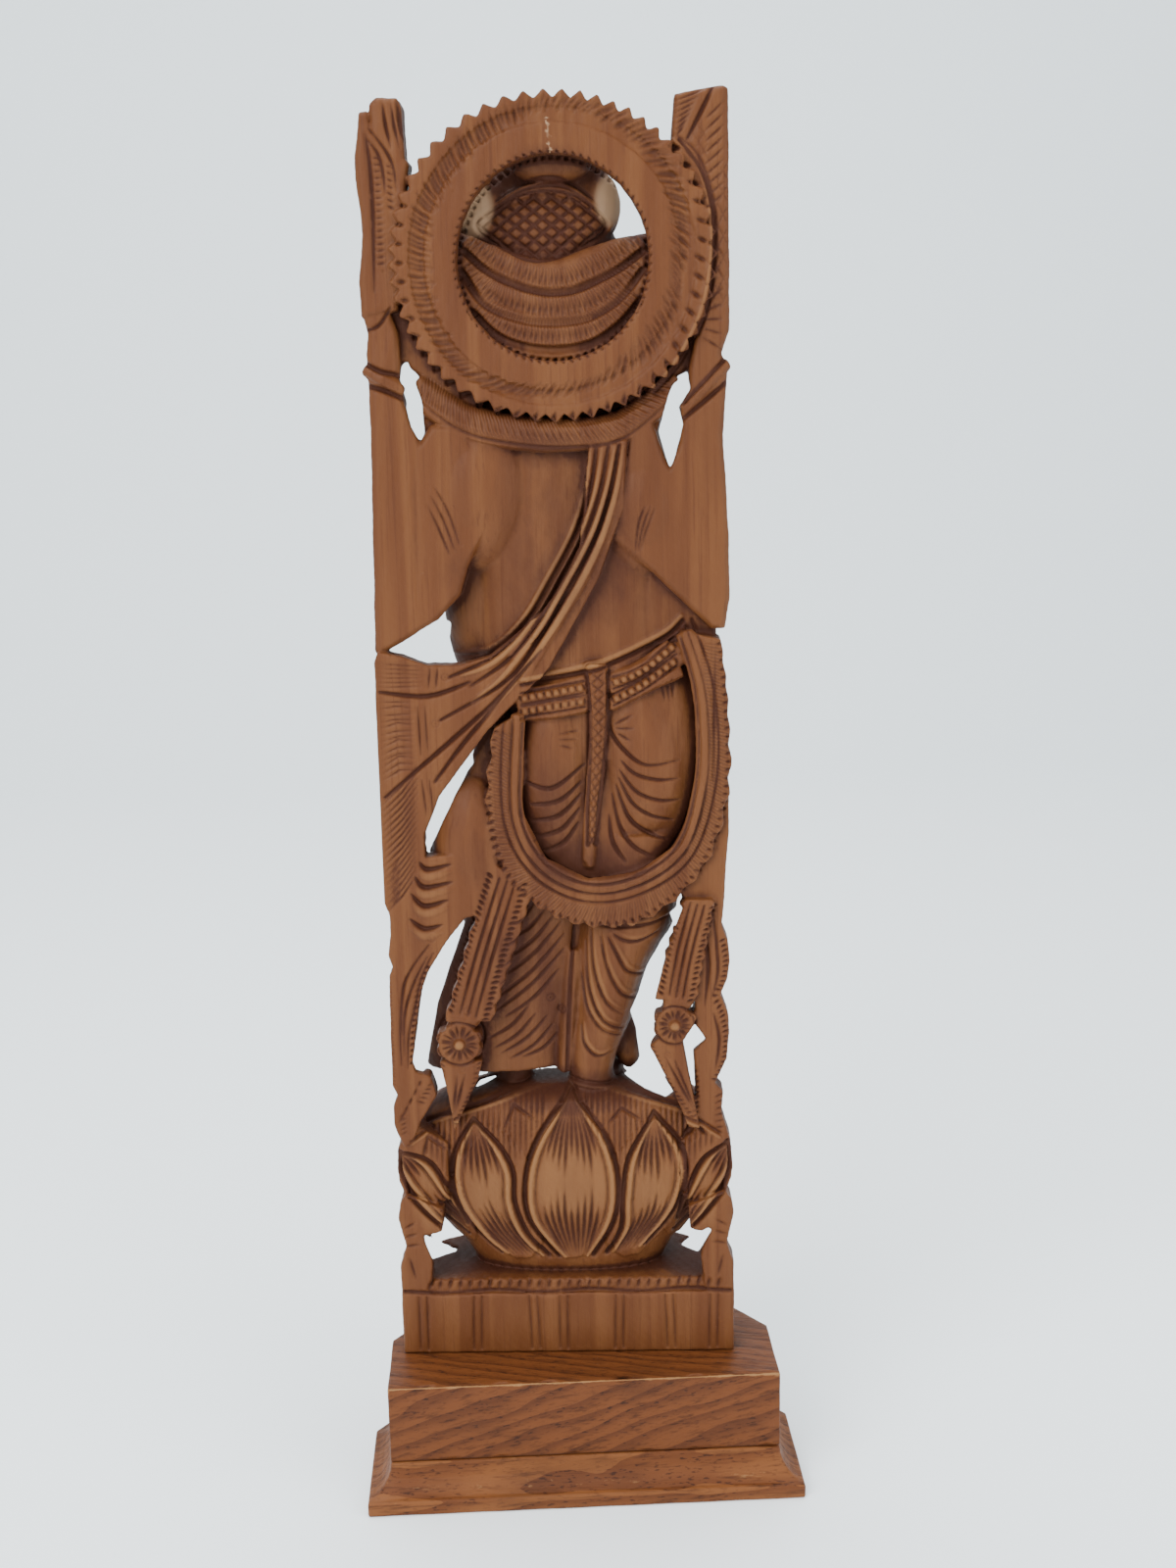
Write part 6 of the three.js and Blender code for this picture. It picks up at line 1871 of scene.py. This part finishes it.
@dataclass
class PlinthBoard:
    """A board of the plinth, with eased and slightly worn edges."""

    node: str
    piece: str
    finish: PlinthWood
    ease: float = 0.55
    # How dark the painted shade along the board's foot is.
    foot_shade: float = 0.0
    longest_edge: float = 3.0
    wear_reach: float = 1.3
    # How far up from the foot the painted shade reaches.
    foot_shade_reach: float = 1.1

    def build(self, node: bpy.types.Object) -> bpy.types.Object:
        """Builds the board from a merged copy of its solid.

        Args:
            node: The solid of the frame, which stays as it is.

        Returns:
            The finished piece.
        """
        bm = bmesh.new()
        bm.from_mesh(node.data)
        bmesh.ops.remove_doubles(bm, verts=bm.verts, dist=1e-6)
        bmesh.ops.dissolve_limit(bm, angle_limit=math.radians(1), verts=bm.verts, edges=bm.edges)
        sharp = [e for e in bm.edges if len(e.link_faces) == 2 and e.calc_face_angle(0) > math.radians(25)]
        bmesh.ops.bevel(
            bm, geom=sharp, offset=self.ease * MM, affect="EDGES", segments=3, profile=0.5, material=-1,
            offset_type="OFFSET", clamp_overlap=True,
        )  # fmt: skip
        bmesh.ops.triangulate(bm, faces=bm.faces)
        for _ in range(5):
            long = [e for e in bm.edges if e.calc_length() > self.longest_edge * MM]
            if not long:
                break
            bmesh.ops.subdivide_edges(bm, edges=long, cuts=1, use_grid_fill=False)
            bmesh.ops.triangulate(bm, faces=bm.faces)
        mesh = to_mesh(bm, self.piece)
        self._wear(mesh)
        shade_smooth(mesh)
        mesh.materials.append(self.finish.material())
        return mesh_object(self.piece, mesh)

    def _wear(self, mesh: bpy.types.Mesh) -> None:
        """Presses the surface in a little by hand-work noise, and stores where its edges are worn and where
        shade is painted along its foot.
        """
        places, normals = read_points(mesh)
        low, high = places.min(0), places.max(0)
        x, y, z = places.T / MM
        uneven = 0.05 + 0.05 * np.sin(x * 0.31 + 2 * np.sin(z * 0.2)) * np.sin(y * 0.27 + z * 0.4)
        places -= normals * (uneven * MM)[:, None]
        write_points(mesh, places)
        top = np.clip(1 - (high[2] - places[:, 2]) / (self.wear_reach * MM), 0, 1)
        rear = np.clip(1 - np.abs(places[:, 1] - high[1]) / (self.wear_reach * MM), 0, 1)
        # Painted shade along the foot, where the board sits on the moulding.
        bottom = np.clip(1 - (places[:, 2] - low[2]) / (self.foot_shade_reach * MM), 0, 1)
        bevel = np.clip((0.995 - np.abs(normals).max(axis=1)) / 0.2, 0, 1)
        edge = np.clip(0.4 * bevel + 0.8 * top * rear, 0, 1)
        store(mesh, {"edge": edge, "recess": bottom * self.foot_shade})


@dataclass(frozen=True)
class Camera:
    """The photograph's viewpoint, in millimetres about the middle of the plinth's back top edge."""

    sensor: float = 36.0
    focal_pixels: float = 1900.0
    place: tuple[float, float, float] = (-17.0, -515.1, 299.3)
    yaw: float = -0.042
    pitch: float = 0.216
    roll: float = -0.020
    plinth_height: float = 38.8
    half_depth: float = 33.0

    def build(self) -> bpy.types.Object:
        """Creates the camera and makes it the scene's."""
        data = bpy.data.cameras.new("photo_view")
        data.sensor_width = self.sensor
        data.sensor_fit = "AUTO"
        data.lens = self.sensor * self.focal_pixels / PHOTO_HEIGHT
        data.clip_start, data.clip_end = 0.01, 20.0
        made = bpy.data.objects.new("photo_view", data)
        bpy.context.scene.collection.objects.link(made)
        ahead = Vector(
            (
                -math.sin(self.yaw) * math.cos(self.pitch),
                math.cos(self.yaw) * math.cos(self.pitch),
                -math.sin(self.pitch),
            )
        )
        right = Vector((math.cos(self.yaw), math.sin(self.yaw), 0))
        up = right.cross(ahead)
        level = Matrix.Rotation(self.roll, 3, ahead * -1)
        right, up = level @ right, level @ up
        half_turn = Matrix.Diagonal((-1, -1, 1))
        x, y, z = half_turn @ right, half_turn @ up, half_turn @ -ahead
        where = half_turn @ Vector(self.place) + Vector((0, self.half_depth, self.plinth_height))
        made.matrix_world = Matrix.Translation(where * MM) @ Matrix((x, y, z)).transposed().to_4x4()
        bpy.context.scene.camera = made
        return made


@dataclass
class Studio:
    """A pale sweep under and behind the object, and soft light, in metres.

    A lamp is its name, place, size and power in watts.
    """

    paper: tuple[float, ...] = shade(246, 252, 254)
    fleck: tuple[float, ...] = shade(224, 232, 236)
    sky: tuple[float, ...] = shade(226, 234, 240)
    sky_strength: float = 1.04
    half_floor: tuple[float, float] = (3.0, 1.6)
    forward: float = 0.6
    bend: float = 0.7
    wall: float = 2.0
    lamps: tuple[tuple[str, Sequence[float], float, float], ...] = (
        ("key", (0.9, 1.15, 1.1), 1.1, 37.0),
        ("fill", (-1.1, 0.9, 0.7), 1.2, 17.0),
        ("top", (0.1, -0.2, 1.6), 1.2, 26.0),
    )
    lit_height: float = 0.2

    def build(self) -> None:
        """Adds the sweep, the lamps and the sky light."""
        self._sweep()
        for lamp in self.lamps:
            self._lamp(*lamp)
        world = bpy.data.worlds.new("soft_sky")
        bpy.context.scene.world = world
        world.use_nodes = True
        sky = world.node_tree.nodes["Background"]
        sky.inputs["Color"].default_value = self.sky
        sky.inputs["Strength"].default_value = self.sky_strength

    def _sweep(self) -> None:
        """Adds a floor that bends up into a wall behind the object, as the camera sees it."""
        bm = bmesh.new()
        start = bmesh.ops.create_grid(bm, x_segments=1, y_segments=1, size=1.0)["verts"]
        bmesh.ops.scale(bm, vec=(*self.half_floor, 1.0), verts=start)
        bmesh.ops.translate(bm, vec=(0, self.forward, 0), verts=start)
        edge = [e for e in bm.edges if all(v.co.y < 0 for v in e.verts)]
        centre = (0.0, self.forward - self.half_floor[1], self.bend)
        bmesh.ops.spin(
            bm, geom=edge, cent=centre, axis=(1, 0, 0), angle=-math.pi / 2, steps=16, use_merge=False,
            use_duplicate=False,
        )  # fmt: skip
        last = max(bm.verts, key=lambda v: v.co.z).co.z
        rim = [e for e in bm.edges if all(abs(v.co.z - last) < 1e-5 for v in e.verts)]
        grown = bmesh.ops.extrude_edge_only(bm, edges=rim)["geom"]
        top = [g for g in grown if isinstance(g, bmesh.types.BMVert)]
        bmesh.ops.translate(bm, vec=(0, 0, self.wall), verts=top)
        bmesh.ops.recalc_face_normals(bm, faces=bm.faces)
        mesh = to_mesh(bm, "sweep")
        shade_smooth(mesh)
        shader = Shader("sweep_paper")
        grain = shader.noise(shader.place((40, 40, 40)), 2.0)
        colour = shader.mix(grain * 0.1, self.paper, self.fleck)
        mesh.materials.append(shader.finish(colour, 0.8 + grain * 0.1, grain, 0.05, 0.0002, {}))
        mesh_object("sweep", mesh)

    def _lamp(self, name: str, place: Sequence[float], size: float, power: float) -> None:
        """Adds a square area lamp that looks at the object's middle."""
        data = bpy.data.lights.new(name, "AREA")
        data.shape, data.size, data.energy = "SQUARE", size, power
        made = bpy.data.objects.new(name, data)
        bpy.context.scene.collection.objects.link(made)
        middle = Vector((0, 0, self.lit_height))
        made.location = place
        made.rotation_euler = (middle - Vector(place)).to_track_quat("-Z", "Y").to_euler()


def dress(piece: bpy.types.Object, node: str) -> None:
    """Hangs a finished piece under the root and hides the solid that it stands for.

    Args:
        piece: The piece.
        node: The solid that it replaces.
    """
    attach(piece, "root")
    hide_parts(node)
    LOG.info("%s stands for %s with %d faces", piece.name, node, len(piece.data.polygons))


def main() -> None:
    """Builds the object's looks, the camera and the studio."""
    logging.basicConfig(level=logging.INFO, format="%(name)s: %(message)s")
    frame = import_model()
    Camera().build()
    Studio().build()
    nodes = frame["nodes"]
    for part in CarvedFigure().build(nodes["figure"], CarvedWood().material()):
        dress(part, "figure")
    board_wood = PlinthWood("plinth_board_wood", tilt=-0.24)
    moulding_wood = PlinthWood("plinth_moulding_wood", shade(108, 64, 32), shade(88, 48, 22), tilt=-0.04)
    for board in (
        # The top board gets painted shade along its foot.
        PlinthBoard("plinth_top", "plinth_board", board_wood, foot_shade=0.7),
        PlinthBoard("plinth_foot", "plinth_moulding", moulding_wood, ease=0.8),
    ):
        dress(board.build(nodes[board.node]), board.node)


if __name__ == "__main__":
    main()
